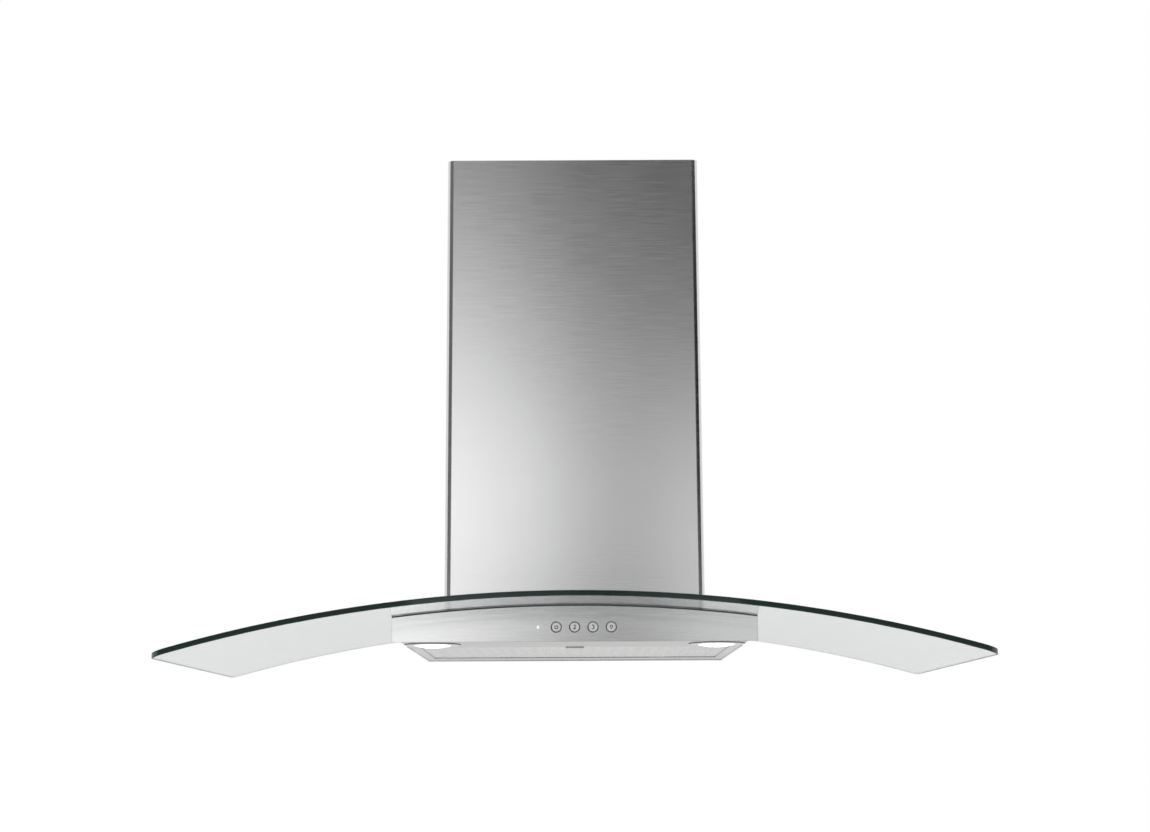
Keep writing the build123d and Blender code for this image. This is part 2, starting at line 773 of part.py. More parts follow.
grille_floor = filter_rise + filter_lip
with BuildPart() as filter_face:
    extrude(draw_panel(Plane.XY.offset(grille_floor)), amount=filter_grille)
    extrude(draw_cells(Plane.XY.offset(grille_floor)), amount=filter_grille, mode=Mode.SUBTRACT)
filter_face.part.label = "filter_face"
export_step(filter_face.part, "parts/filter_face.step")

core_thickness = filter_thickness - 2 * (filter_lip + filter_grille)
with BuildPart() as filter_core:
    extrude(draw_panel(Plane.XY.offset(grille_floor + filter_grille)), amount=core_thickness)
filter_core.part.label = "filter_core"
export_step(filter_core.part, "parts/filter_core.step")

back_floor = filter_top - filter_lip - filter_grille
with BuildPart() as filter_back:
    extrude(draw_panel(Plane.XY.offset(back_floor)), amount=filter_grille)
    extrude(draw_cells(Plane.XY.offset(back_floor)), amount=filter_grille, mode=Mode.SUBTRACT)
filter_back.part.label = "filter_back"
export_step(filter_back.part, "parts/filter_back.step")

# Latch: a ring for one finger, keyed into the block, with a tongue that hooks over the opening's edge.
with BuildPart() as filter_latch:
    with BuildSketch(Plane.XY.offset(latch_floor)):
        with Locations((0, (latch_front + latch_rear) / 2)):
            Rectangle(latch_width, latch_length)
            Rectangle(
                latch_width - 2 * latch_bar, latch_length - 2 * latch_bar, mode=Mode.SUBTRACT
            )
    extrude(amount=latch_height)
    with BuildSketch(Plane.XY.offset(key_floor)):
        with Locations((0, (latch_front + latch_rear) / 2)):
            Rectangle(latch_width + 2 * latch_key_reach, latch_length)
            Rectangle(latch_width - 2 * latch_bar, latch_length, mode=Mode.SUBTRACT)
    extrude(amount=latch_key_height)
    with BuildSketch(Plane.XY.offset(latch_floor)):
        with Locations((0, latch_front - latch_tongue_reach / 2)):
            Rectangle(latch_tongue_width, latch_tongue_reach)
    extrude(amount=lug_thickness)
filter_latch.part.label = "filter_latch"
export_step(filter_latch.part, "parts/filter_latch.step")

latch_spring_length = latch_spring_room - 2 * (latch_spring_wire + slip_gap)
latch_spring_start = (
    0,
    latch_rear + latch_spring_wire + slip_gap,
    latch_floor + latch_height / 2,
)
with BuildPart() as latch_spring:
    with BuildLine():
        latch_coil = Helix(
            pitch=latch_spring_length / latch_spring_turns,
            height=latch_spring_length,
            radius=latch_spring_radius,
            center=latch_spring_start,
            direction=(0, 1, 0),
        )
    with BuildSketch(Plane(origin=latch_coil @ 0, z_dir=latch_coil % 0)):
        Circle(latch_spring_wire)
    sweep()
latch_spring.part.label = "latch_spring"
export_step(latch_spring.part, "parts/latch_spring.step")

# ================================================================== flue covers
# Two U-shaped steel covers, one sliding inside the other. The lower one stands on the glass.
def draw_flue(floor, half_width, front, corner, rear):
    """Folded sheet in plan: front, two sides, and narrow returns along the wall."""
    middle = flue_sheet / 2
    with BuildSketch(Plane.XY.offset(floor)) as section:
        with BuildLine() as fold:
            FilletPolyline(
                (half_width - flue_return, rear - middle),
                (half_width - middle, rear - middle),
                (half_width - middle, front + middle),
                (middle - half_width, front + middle),
                (middle - half_width, rear - middle),
                (flue_return - half_width, rear - middle),
                radius=corner - middle,
            )
        trace(fold.line, line_width=flue_sheet)
    return section.sketch


flue_rear = -flue_wall_gap
with BuildPart() as lower_flue_cover:
    extrude(draw_flue(0, flue_width / 2, -flue_depth, flue_corner, flue_rear), amount=flue_top_height)
    extrude(
        draw_under(facing(0), glass_top_radius + seat_gap, flue_width, -flue_depth),
        amount=2 * flue_depth,
        mode=Mode.SUBTRACT,
    )
lower_flue_cover.part.label = "lower_flue_cover"
export_step(lower_flue_cover.part, "parts/lower_flue_cover.step")

inner_step = flue_sheet + flue_slide_gap
upper_half = flue_width / 2 - inner_step
upper_front = -flue_depth + inner_step
upper_rear = flue_rear - inner_step
upper_top = flue_top_height - upper_flue_drop
with BuildPart() as upper_flue_cover:
    extrude(
        draw_flue(upper_flue_floor, upper_half, upper_front, flue_corner - inner_step, upper_rear),
        amount=upper_top - upper_flue_floor,
    )
upper_flue_cover.part.label = "upper_flue_cover"
export_step(upper_flue_cover.part, "parts/upper_flue_cover.step")

# Wall bracket that the top of the upper cover is screwed to. Its ends step forward past the
# cover's returns and round corners, and lie along the inside of its sides.
bracket_floor = upper_top - bracket_drop - bracket_height
bracket_half = upper_half - flue_sheet - seat_gap
bracket_step = upper_half - flue_return - 2 * bracket_sheet
bracket_front = upper_rear - flue_corner
with BuildPart() as flue_bracket:
    with BuildSketch(Plane.XY.offset(bracket_floor)):
        with BuildLine() as bracket_fold:
            half_sheet = bracket_sheet / 2
            Polyline(
                (-bracket_half + half_sheet, bracket_front - bracket_tab),
                (-bracket_half + half_sheet, bracket_front),
                (-bracket_step, bracket_front),
                (-bracket_step, -half_sheet),
                (bracket_step, -half_sheet),
                (bracket_step, bracket_front),
                (bracket_half - half_sheet, bracket_front),
                (bracket_half - half_sheet, bracket_front - bracket_tab),
            )
        trace(bracket_fold.line, line_width=bracket_sheet)
    extrude(amount=bracket_height)
    with BuildSketch(facing(0)):
        with Locations((0, bracket_floor + bracket_height / 2)):
            with GridLocations(bracket_hole_spacing, 1, 2, 1):
                Circle(bracket_hole_radius)
    extrude(amount=bracket_sheet, mode=Mode.SUBTRACT)
flue_bracket.part.label = "flue_bracket"
export_step(flue_bracket.part, "parts/flue_bracket.step")

# ================================================================== hanging plate and blower box
wall_hole_places = [
    (side * wall_hole_spacing / 2, height)
    for side in (-1, 1)
    for height in (wall_hole_low, wall_hole_high)
]
with BuildPart() as hanging_plate:
    with BuildSketch(facing(0)):
        with Locations((0, hanging_top_height / 2)):
            Rectangle(box_width, hanging_top_height)
        with Locations(*wall_hole_places):
            Circle(wall_hole_radius, mode=Mode.SUBTRACT)
    extrude(amount=hanging_sheet)
hanging_plate.part.label = "hanging_plate"
export_step(hanging_plate.part, "parts/hanging_plate.step")

# Sheet-metal suction box. It stands on the body's bent top on an inward flange, passes through the
# notch in the glass and is open at the front, where its cover is screwed on.
collar_y = -collar_depth
box_floor_radius = body_top_radius + slip_gap
box_floor_half = box_half - box_sheet / 2
with BuildPart() as blower_box:
    with BuildSketch():
        with Locations((0, (box_rear + box_inside_front) / 2)):
            Rectangle(box_width, box_rear - box_inside_front)
    extrude(amount=box_top_height)
    with BuildSketch():
        with Locations((0, (box_rear - box_sheet + box_inside_front) / 2)):
            Rectangle(box_width - 2 * box_sheet, box_rear - box_sheet - box_inside_front)
    extrude(amount=box_top_height - box_sheet, mode=Mode.SUBTRACT)
    extrude(
        draw_layer(
            facing(box_rear), box_floor_radius, box_floor_radius + box_sheet, box_floor_half
        ),
        amount=box_rear - box_inside_front,
    )
    with BuildSketch():
        with Locations((0, (box_rear + box_front) / 2)):
            Rectangle(box_width - 2 * box_flange, box_depth - hanging_sheet - 2 * box_flange)
    extrude(amount=2 * glass_apex_height, mode=Mode.SUBTRACT)
    extrude(
        draw_under(facing(0), box_floor_radius, box_width, -glass_apex_height),
        amount=2 * box_depth,
        mode=Mode.SUBTRACT,
    )
    with BuildSketch(Plane.XY.offset(box_top_height - box_sheet)):
        with Locations((0, collar_y)):
            Circle(collar_radius - collar_wall)
    extrude(amount=box_sheet, mode=Mode.SUBTRACT)
    # room for the heads of the lower wall screws
    with BuildSketch(facing(box_rear)):
        with Locations(*[place for place in wall_hole_places if place[1] == wall_hole_low]):
            Circle(2 * wall_hole_radius)
    extrude(amount=2 * box_sheet, mode=Mode.SUBTRACT)
    with BuildSketch(*on_bends(box_floor_radius, box_screw_places)):
        Circle(box_screw_radius + slip_gap)
    extrude(amount=2 * box_sheet, both=True, mode=Mode.SUBTRACT)
blower_box.part.label = "blower_box"
export_step(blower_box.part, "parts/blower_box.step")

with BuildPart() as blower_box_cover:
    with BuildSketch(facing(box_inside_front)):
        with Locations((0, box_top_height / 2)):
            Rectangle(box_width, box_top_height)
    extrude(amount=box_sheet)
    extrude(
        draw_under(facing(0), box_floor_radius, box_width, -glass_apex_height),
        amount=2 * box_depth,
        mode=Mode.SUBTRACT,
    )
blower_box_cover.part.label = "blower_box_cover"
export_step(blower_box_cover.part, "parts/blower_box_cover.step")

# Screws that hold the box's flange down on the body.
box_head_seat = box_floor_radius + box_sheet + slip_gap
with BuildPart() as box_screws:
    with BuildSketch(*on_bends(box_head_seat, box_screw_places)):
        Circle(box_screw_radius * screw_head_ratio)
    extrude(amount=screw_head_height)
    with BuildSketch(*on_bends(box_head_seat, box_screw_places)):
        Circle(box_screw_radius)
    extrude(amount=-(box_head_seat - nut_seat + nut_height))
box_screws.part.label = "box_screws"
export_step(box_screws.part, "parts/box_screws.step")

# ================================================================== fan scroll
# Moulded in two halves that meet on the centre line. The outline is four quarter arcs, each larger
# than the last, and a straight throat up to the mouth.
fan_y = -fan_axis_depth
fan_z = fan_axis_height
scroll_half = impeller_half_width + scroll_side_gap + scroll_wall
tongue_radius = impeller_radius + scroll_tongue_gap + scroll_wall
half_growth = scroll_growth / 2


def draw_scroll(plane, wall):
    """The scroll's outline across the fan's axis or, with a wall, the hollow inside it."""
    with BuildSketch(plane) as section:
        with BuildLine():
            arcs = []
            centres = [(-1, 1), (-1, -1), (1, -1), (1, 1)]
            for quarter, (away, up) in enumerate(centres):
                start = scroll_tongue_angle if quarter == 0 else 90.0 * quarter
                arcs.append(
                    CenterArc(
                        (fan_y + away * half_growth, fan_z + up * half_growth),
                        tongue_radius + quarter * scroll_growth,
                        start,
                        90.0 * (quarter + 1) - start,
                    )
                )
            # straight throat; the hollow's throat runs on past the mouth
            tongue = arcs[0] @ 0
            mouth = Vector(fan_y + scroll_mouth_near, fan_z + scroll_mouth_height)
            near = tongue + (mouth - tongue) * (1 + 2 * wall / (mouth.Y - tongue.Y))
            Polyline(arcs[3] @ 1, ((arcs[3] @ 1).X, near.Y), near, tongue)
        make_face()
        if wall:
            offset(amount=-wall)
    return section.sketch


with BuildPart() as scroll_right:
    extrude(draw_scroll(Plane.YZ, 0), amount=scroll_half)
    extrude(draw_scroll(Plane.YZ, scroll_wall), amount=scroll_half - scroll_wall, mode=Mode.SUBTRACT)
    with BuildSketch(Plane.YZ.offset(scroll_half - scroll_wall)):
        with Locations((fan_y, fan_z)):
            Circle(scroll_inlet_radius + scroll_wall)
    extrude(amount=scroll_wall + scroll_inlet_lip)
    with BuildSketch(Plane.YZ):
        with Locations((fan_y, fan_z)):
            Circle(scroll_inlet_radius)
    extrude(amount=2 * scroll_half, mode=Mode.SUBTRACT)
scroll_right.part.label = "scroll_right"
export_step(scroll_right.part, "parts/scroll_right.step")

with BuildPart() as scroll_left:
    add(scroll_right.part)
    mirror(about=Plane.YZ, mode=Mode.REPLACE)
scroll_left.part.label = "scroll_left"
export_step(scroll_left.part, "parts/scroll_left.step")

# Transition from the scroll's rectangular mouth to the round outlet.
mouth_height = fan_z + scroll_mouth_height
mouth_near = fan_y + scroll_mouth_near
mouth_rear = fan_y + half_growth + tongue_radius + 3 * scroll_growth
outlet_floor = box_top_height - box_sheet
outlet_radius = collar_radius - collar_wall
with BuildPart() as outlet_adaptor:
    for inset, cut in ((0, Mode.ADD), (scroll_wall, Mode.SUBTRACT)):
        with BuildSketch(Plane.XY.offset(mouth_height)):
            with Locations((0, (mouth_near + mouth_rear) / 2)):
                RectangleRounded(
                    2 * (scroll_half - inset), mouth_rear - mouth_near - 2 * inset, 2 * scroll_wall
                )
        with BuildSketch(Plane.XY.offset(outlet_floor)):
            with Locations((0, collar_y)):
                Circle(outlet_radius - inset)
        loft(mode=cut)
outlet_adaptor.part.label = "outlet_adaptor"
export_step(outlet_adaptor.part, "parts/outlet_adaptor.step")

# ================================================================== impeller, motor and shaft
# Double-inlet drum with forward-curved blades on both sides of a central disc.
fan_plane = Plane(origin=(0, fan_y, fan_z), x_dir=(0, 1, 0), z_dir=(1, 0, 0))
blade_inner = impeller_radius - impeller_blade_depth
with BuildPart() as impeller:
    with BuildSketch(fan_plane.offset(-impeller_sheet)):
        Circle(impeller_radius)
    extrude(amount=2 * impeller_sheet)
    for end in (-1, 1):
        ring_floor = end * impeller_half_width - (end + 1) / 2 * impeller_sheet
        with BuildSketch(fan_plane.offset(ring_floor)):
            Circle(impeller_radius)
            Circle(blade_inner, mode=Mode.SUBTRACT)
        extrude(amount=impeller_sheet)
    with BuildSketch(fan_plane.offset(-impeller_half_width)):
        with PolarLocations(impeller_radius - impeller_blade_depth / 2, impeller_blades):
            Rectangle(impeller_blade_depth, impeller_sheet, rotation=impeller_blade_angle)
    extrude(amount=2 * impeller_half_width)
    with BuildSketch(fan_plane.offset(-hub_length)):
        Circle(hub_radius)
    extrude(amount=hub_length)
    with BuildSketch(fan_plane.offset(-hub_length)):
        Circle(shaft_radius + running_gap)
    extrude(amount=2 * hub_length, mode=Mode.SUBTRACT)
    with BuildSketch(fan_plane.offset(-impeller_half_width)):
        Circle(2 * impeller_radius)
        Circle(impeller_radius, mode=Mode.SUBTRACT)
    extrude(amount=2 * impeller_half_width, mode=Mode.SUBTRACT)
impeller.part.label = "impeller"
export_step(impeller.part, "parts/impeller.step")

motor_end = scroll_half
shaft_end = motor_end - bush_length / 4
with BuildPart() as motor_shaft:
    with BuildSketch(fan_plane.offset(-hub_length)):
        Circle(shaft_radius)
    extrude(amount=shaft_end + hub_length)
motor_shaft.part.label = "motor_shaft"
export_step(motor_shaft.part, "parts/motor_shaft.step")

with BuildPart() as motor:
    with BuildSketch(fan_plane.offset(motor_nose)):
        Circle(motor_radius)
        Circle(bush_radius, mode=Mode.SUBTRACT)
    extrude(amount=motor_end - motor_nose)
    near_face = motor.faces().sort_by(Axis.X)[0]
    fillet(near_face.edges().sort_by(SortBy.LENGTH)[-1], motor_edge)
motor.part.label = "motor"
export_step(motor.part, "parts/motor.step")

with BuildPart() as motor_bushes:
    with BuildSketch(fan_plane.offset(motor_nose), fan_plane.offset(motor_end - bush_length)):
        Circle(bush_radius - slip_gap)
        Circle(shaft_radius + running_gap, mode=Mode.SUBTRACT)
    extrude(amount=bush_length)
motor_bushes.part.label = "motor_bushes"
export_step(motor_bushes.part, "parts/motor_bushes.step")

# Three-armed bracket that carries the motor in the right-hand inlet.
spider_inner = scroll_inlet_radius + scroll_wall + seat_gap
spider_outer = spider_inner + spider_rim
with BuildPart() as motor_bracket:
    with BuildSketch(fan_plane.offset(motor_end)):
        Circle(spider_outer)
        Circle(spider_inner, mode=Mode.SUBTRACT)
    extrude(amount=scroll_inlet_lip + spider_sheet)
    with BuildSketch(fan_plane.offset(motor_end + scroll_inlet_lip)):
        with PolarLocations((spider_inner + motor_radius) / 2, 3, start_angle=90):
            Rectangle(spider_inner - motor_radius + spider_arm_width, spider_arm_width)
        Circle(motor_radius)
        Circle(spider_hub_radius / 2, mode=Mode.SUBTRACT)
    extrude(amount=spider_sheet)
    with BuildSketch(fan_plane.offset(motor_end)):
        Circle(spider_hub_radius)
        Circle(spider_hub_radius - spider_sheet, mode=Mode.SUBTRACT)
    extrude(amount=scroll_inlet_lip)
motor_bracket.part.label = "motor_bracket"
export_step(motor_bracket.part, "parts/motor_bracket.step")

# ================================================================== outlet collar and non-return flaps
pin_z = box_top_height + flap_pin_height
flap_top = pin_z - flap_drop
flap_floor = flap_top - flap_thickness
flap_radius = outlet_radius - seat_gap
knuckle_radius = flap_pin_radius + flap_knuckle_wall
collar_flange_rear = box_rear - collar_flange_trim
with BuildPart() as outlet_collar:
    with BuildSketch(Plane.XY.offset(box_top_height)):
        with Locations((0, collar_y)):
            Circle(collar_radius + collar_flange)
        with Locations((0, collar_flange_rear + collar_radius)):
            Rectangle(3 * collar_radius, 2 * collar_radius, mode=Mode.SUBTRACT)
    extrude(amount=collar_flange_thickness)
    with BuildSketch(Plane.XY.offset(box_top_height)):
        with Locations((0, collar_y)):
            Circle(collar_radius)
    extrude(amount=collar_height)
    with BuildSketch(Plane.XY.offset(box_top_height)):
        with Locations((0, collar_y)):
            Circle(outlet_radius)
    extrude(amount=collar_height, mode=Mode.SUBTRACT)
    # ledge that the closed flaps lie on
    with BuildSketch(Plane.XY.offset(flap_floor - ledge_thickness - slip_gap)):
        with Locations((0, collar_y)):
            Circle(outlet_radius)
            Circle(outlet_radius - ledge_width, mode=Mode.SUBTRACT)
    extrude(amount=ledge_thickness)
    with BuildSketch(Plane.YZ):
        with Locations((collar_y, pin_z)):
            Circle(flap_pin_radius + slip_gap)
    extrude(amount=2 * collar_radius, both=True, mode=Mode.SUBTRACT)
outlet_collar.part.label = "outlet_collar"
export_step(outlet_collar.part, "parts/outlet_collar.step")

with BuildPart() as flap_pin:
    with BuildSketch(Plane.YZ):
        with Locations((collar_y, pin_z)):
            Circle(flap_pin_radius)
    extrude(amount=collar_radius - seat_gap, both=True)
flap_pin.part.label = "flap_pin"
export_step(flap_pin.part, "parts/flap_pin.step")

# Each flap is half a disc hung below the pin, so that the pair opens without meeting.
for flap_name, toward in (("flap_front", -1), ("flap_rear", 1)):
    own_knuckles = (-toward * flap_knuckle_outer, toward * flap_knuckle_inner)
    other_knuckles = [-place for place in own_knuckles]
    with BuildPart() as flap:
        with BuildSketch(Plane.XY.offset(flap_floor)):
            with Locations((0, collar_y)):
                Circle(flap_radius)
            with Locations((0, collar_y - toward * flap_radius)):
                Rectangle(3 * flap_radius, 2 * flap_radius + 2 * seat_gap, mode=Mode.SUBTRACT)
            with Locations(*[(place, collar_y) for place in other_knuckles]):
                Rectangle(
                    flap_knuckle_length + 4 * seat_gap,
                    2 * (knuckle_radius + 2 * seat_gap),
                    mode=Mode.SUBTRACT,
                )
        extrude(amount=flap_thickness)
        for place in own_knuckles:
            with BuildSketch(Plane.YZ.offset(place - flap_knuckle_length / 2)):
                with Locations((collar_y, pin_z)):
                    Circle(knuckle_radius)
            extrude(amount=flap_knuckle_length)
        # the rest of the flap stays clear of the pin
        with BuildSketch(Plane.YZ.offset(-collar_radius)):
            with Locations((collar_y, pin_z)):
                Circle(flap_pin_radius + running_gap)
        extrude(amount=2 * collar_radius, mode=Mode.SUBTRACT)
    flap.part.label = flap_name
    export_step(flap.part, f"parts/{flap_name}.step")

# ================================================================== electrics on top of the box
junction_y = box_front + junction_depth / 2 + 2 * junction_wall
junction_top = box_top_height + junction_height
with BuildPart() as junction_box:
    with BuildSketch(Plane.XY.offset(box_top_height)):
        with Locations((0, junction_y)):
            RectangleRounded(junction_width, junction_depth, 2 * junction_wall)
    extrude(amount=junction_height)
    with BuildSketch(Plane.XY.offset(box_top_height + junction_wall)):
        with Locations((0, junction_y)):
            RectangleRounded(
                junction_width - 2 * junction_wall,
                junction_depth - 2 * junction_wall,
                junction_wall,
            )
    extrude(amount=junction_height, mode=Mode.SUBTRACT)
junction_box.part.label = "junction_box"
export_step(junction_box.part, "parts/junction_box.step")

gland_x = junction_width / 4
with BuildPart() as junction_cover:
    with BuildSketch(Plane.XY.offset(junction_top)):
        with Locations((0, junction_y)):
            RectangleRounded(junction_width, junction_depth, 2 * junction_wall)
        with Locations((gland_x, junction_y)):
            Circle(gland_bore_radius + junction_wall + slip_gap, mode=Mode.SUBTRACT)
    extrude(amount=junction_lid)
junction_cover.part.label = "junction_cover"
export_step(junction_cover.part, "parts/junction_cover.step")

gland_floor = junction_top - junction_wall
gland_seat = junction_top + junction_lid
with BuildPart() as mains_gland:
    with BuildSketch(Plane.XY.offset(gland_floor)):
        with Locations((gland_x, junction_y)):
            Circle(gland_bore_radius + junction_wall)
    extrude(amount=gland_seat - gland_floor)
    with BuildSketch(Plane.XY.offset(gland_seat)):
        with Locations((gland_x, junction_y)):
            RegularPolygon(gland_radius, 6)
    extrude(amount=gland_height / 2)
    with BuildSketch(Plane.XY.offset(gland_seat + gland_height / 2)):
        with Locations((gland_x, junction_y)):
            Circle(gland_radius - slip_gap)
    extrude(amount=gland_height / 2)
    fillet(mains_gland.edges().group_by(Axis.Z)[-1], junction_wall)
    with BuildSketch(Plane.XY.offset(gland_floor)):
        with Locations((gland_x, junction_y)):
            Circle(gland_bore_radius)
    extrude(amount=gland_seat - gland_floor + gland_height, mode=Mode.SUBTRACT)
mains_gland.part.label = "mains_gland"
export_step(mains_gland.part, "parts/mains_gland.step")

# Transformer of the lamps, beside the collar.
transformer_x = -(box_half - transformer_width / 2 - junction_wall)
with BuildPart() as lamp_transformer:
    with BuildSketch(Plane.XY.offset(box_top_height)):
        with Locations((transformer_x, collar_y)):
            RectangleRounded(transformer_width, transformer_length, junction_wall)
    extrude(amount=transformer_height)
    fillet(lamp_transformer.edges().group_by(Axis.Z)[-1], junction_wall / 2)
lamp_transformer.part.label = "lamp_transformer"
export_step(lamp_transformer.part, "parts/lamp_transformer.step")

# Motor capacitor, upright on the inside of the left wall, and the strap that holds it there.
capacitor_x = -(box_half - box_sheet - clip_sheet - capacitor_radius - slip_gap)
capacitor_y = box_inside_front + capacitor_radius + clip_width
with BuildPart() as capacitor:
    with BuildSketch(Plane.XY.offset(capacitor_height)):
        with Locations((capacitor_x, capacitor_y)):
            Circle(capacitor_radius)
    extrude(amount=capacitor_length)
    fillet(capacitor.edges().group_by(Axis.Z)[-1], clip_sheet)
capacitor.part.label = "capacitor"
export_step(capacitor.part, "parts/capacitor.step")

strap_inner = capacitor_radius + slip_gap
strap_outer = strap_inner + clip_sheet
strap_floor = capacitor_height + (capacitor_length - clip_width) / 2
wall_x = -(box_half - box_sheet)
with BuildPart() as capacitor_clip:
    with BuildSketch(Plane.XY.offset(strap_floor)):
        with Locations((capacitor_x, capacitor_y)):
            Circle(strap_outer)
        with Locations((wall_x + clip_sheet / 2, capacitor_y)):
            Rectangle(clip_sheet, 2 * (strap_outer + clip_width / 2))
        with Locations((capacitor_x, capacitor_y)):
            Circle(strap_inner, mode=Mode.SUBTRACT)
    extrude(amount=clip_width)
capacitor_clip.part.label = "capacitor_clip"
export_step(capacitor_clip.part, "parts/capacitor_clip.step")
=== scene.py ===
import math

import bmesh
import bpy
from mathutils import Matrix, Vector


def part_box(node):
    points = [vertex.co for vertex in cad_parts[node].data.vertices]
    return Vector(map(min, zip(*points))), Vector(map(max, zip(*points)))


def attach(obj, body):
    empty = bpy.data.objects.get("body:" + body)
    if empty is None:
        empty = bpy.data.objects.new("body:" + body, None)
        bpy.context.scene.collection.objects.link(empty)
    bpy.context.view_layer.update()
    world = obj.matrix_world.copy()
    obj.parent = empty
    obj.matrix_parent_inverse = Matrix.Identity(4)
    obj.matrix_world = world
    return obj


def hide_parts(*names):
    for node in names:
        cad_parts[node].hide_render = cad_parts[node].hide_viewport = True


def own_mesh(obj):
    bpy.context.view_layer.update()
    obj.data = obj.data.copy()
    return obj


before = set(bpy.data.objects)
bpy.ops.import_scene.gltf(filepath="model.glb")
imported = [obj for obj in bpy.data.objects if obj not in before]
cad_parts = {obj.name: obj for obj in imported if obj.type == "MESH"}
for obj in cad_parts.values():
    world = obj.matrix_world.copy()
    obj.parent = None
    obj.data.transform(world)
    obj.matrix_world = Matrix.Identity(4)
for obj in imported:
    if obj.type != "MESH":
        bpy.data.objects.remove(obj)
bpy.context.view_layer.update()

# ---------------------------------------------------------------------------------------------
# Camera. A long lens 1.9 m in front of the glass and a hand below it, tipped up to take in the
# flue. It looks square at the hood, so only a sliver of the underside shows.
photo_camera = bpy.data.objects.new("photo_camera", bpy.data.cameras.new("photo_camera"))
bpy.context.scene.collection.objects.link(photo_camera)
tip_up = 10.68
turn_right = -0.28
photo_camera.data.sensor_width = 36.0
photo_camera.data.lens = 56.73
photo_camera.matrix_world = (
    Matrix.Translation((0.0015, -2.400, -0.126))
    @ Matrix.Rotation(math.radians(90 + tip_up), 4, "X")
    @ Matrix.Rotation(math.radians(turn_right), 4, "Z")
)
bpy.context.scene.camera = photo_camera
bpy.context.scene.view_settings.view_transform = "Standard"


# ---------------------------------------------------------------------------------------------
# Studio floor. Matt pale board under the hood, 0.75 m below the glass. The camera and the glass
# see it lifted to the white of the background, the metal sees part of that, and the hood's
# shadow stays on it. The lift is smaller near the spot under the hood, which fades the far floor
# into the background and paints a faint shade round the hood: painted shade. From below it is
# clear, so that the filter can be looked at.
def linear(code):
    """The linear colour of a hex sRGB code."""
    parts = [int(code[i : i + 2], 16) / 255 for i in (1, 3, 5)]
    return tuple(c / 12.92 if c <= 0.04045 else ((c + 0.055) / 1.055) ** 2.4 for c in parts) + (1.0,)


def add(tree, kind, inputs=(), **settings):
    """Adds one shader node with its settings, and sets or links its inputs."""
    node = tree.nodes.new("ShaderNode" + kind)
    for name, value in settings.items():
        setattr(node, name, value)
    for key, value in dict(inputs).items():
        if isinstance(value, bpy.types.NodeSocket):
            tree.links.new(value, node.inputs[key])
        else:
            node.inputs[key].default_value = value
    return node


def new_finish(name):
    """An empty material, its node tree, and the socket that says where a point lies."""
    finish = bpy.data.materials.new(name)
    finish.use_nodes = True
    finish.node_tree.nodes.clear()
    return finish, finish.node_tree, add(finish.node_tree, "TexCoord").outputs["Object"]


def stand_board(name, corners, finish):
    """One flat studio board through its corners, which is no part of the hood."""
    mesh = bpy.data.meshes.new(name)
    mesh.from_pydata(corners, [], [tuple(range(len(corners)))])
    mesh.materials.append(finish)
    board = bpy.data.objects.new(name, mesh)
    bpy.context.scene.collection.objects.link(board)
    return board


floor_height = -0.75
floor_reach = 40.0
floor_in_metal = 0.4  # share of the lift that the metal sees
floor_paint, tree, where = new_finish("matt white floor board")
path = add(tree, "LightPath")
away = add(tree, "VectorMath", {0: where, 1: (0.0, 0.0, floor_height)}, operation="DISTANCE")
matt = add(tree, "BsdfDiffuse", {"Color": linear("#CDCDCD")})
# Painted shade: the lift is 0.38 within half a metre of the spot under the hood and 0.53 from five metres
# out, so the floor round the hood stays darker.
lift_and_painted_shade = add(
    tree,
    "MapRange",
    {"Value": away.outputs["Value"], "From Min": 0.5, "From Max": 5.0, "To Min": 0.38, "To Max": 0.53},
)
seen = add(
    tree,
    "Math",
    {0: path.outputs["Is Camera Ray"], 1: path.outputs["Is Transmission Ray"]},
    operation="MAXIMUM",
)
mirrored = add(tree, "Math", {0: path.outputs["Is Glossy Ray"], 1: floor_in_metal}, operation="MULTIPLY")
shown = add(tree, "Math", {0: seen.outputs[0], 1: mirrored.outputs[0]}, operation="MAXIMUM")
lifted = add(tree, "Math", {0: lift_and_painted_shade.outputs[0], 1: shown.outputs[0]}, operation="MULTIPLY")
glow = add(tree, "Emission", {"Color": linear("#FFFFFF"), "Strength": lifted.outputs[0]})
both = add(tree, "AddShader", {0: matt.outputs[0], 1: glow.outputs[0]})
under = add(tree, "NewGeometry").outputs["Backfacing"]
clear = add(tree, "BsdfTransparent")
board = add(tree, "MixShader", {0: under, 1: both.outputs[0], 2: clear.outputs[0]})
add(tree, "OutputMaterial", {"Surface": board.outputs[0]})
floor_signs = ((-1, -1), (1, -1), (1, 1), (-1, 1))
floor_corners = [(x * floor_reach, y * floor_reach, floor_height) for x, y in floor_signs]
stand_board("studio_floor", floor_corners, floor_paint)

# ---------------------------------------------------------------------------------------------
# Studio light. Even white light from all round, and one large soft box high on the left for
# the shadow. What the camera, the metal and the glass see of the background is plain white.
studio_world = bpy.data.worlds.new("studio_world")
bpy.context.scene.world = studio_world
studio_world.use_nodes = True
tree = studio_world.node_tree
tree.nodes.clear()
path = add(tree, "LightPath")
seen = add(
    tree, "Math", {0: path.outputs["Is Camera Ray"], 1: path.outputs["Is Glossy Ray"]}, operation="MAXIMUM"
)
seen = add(tree, "Math", {0: seen.outputs[0], 1: path.outputs["Is Transmission Ray"]}, operation="MAXIMUM")
strength = add(tree, "MapRange", {"Value": seen.outputs[0], "To Min": 0.78, "To Max": 1.0})
white = add(tree, "Background", {"Color": linear("#FFFFFF"), "Strength": strength.outputs[0]})
add(tree, "OutputWorld", {"Surface": white.outputs[0]})

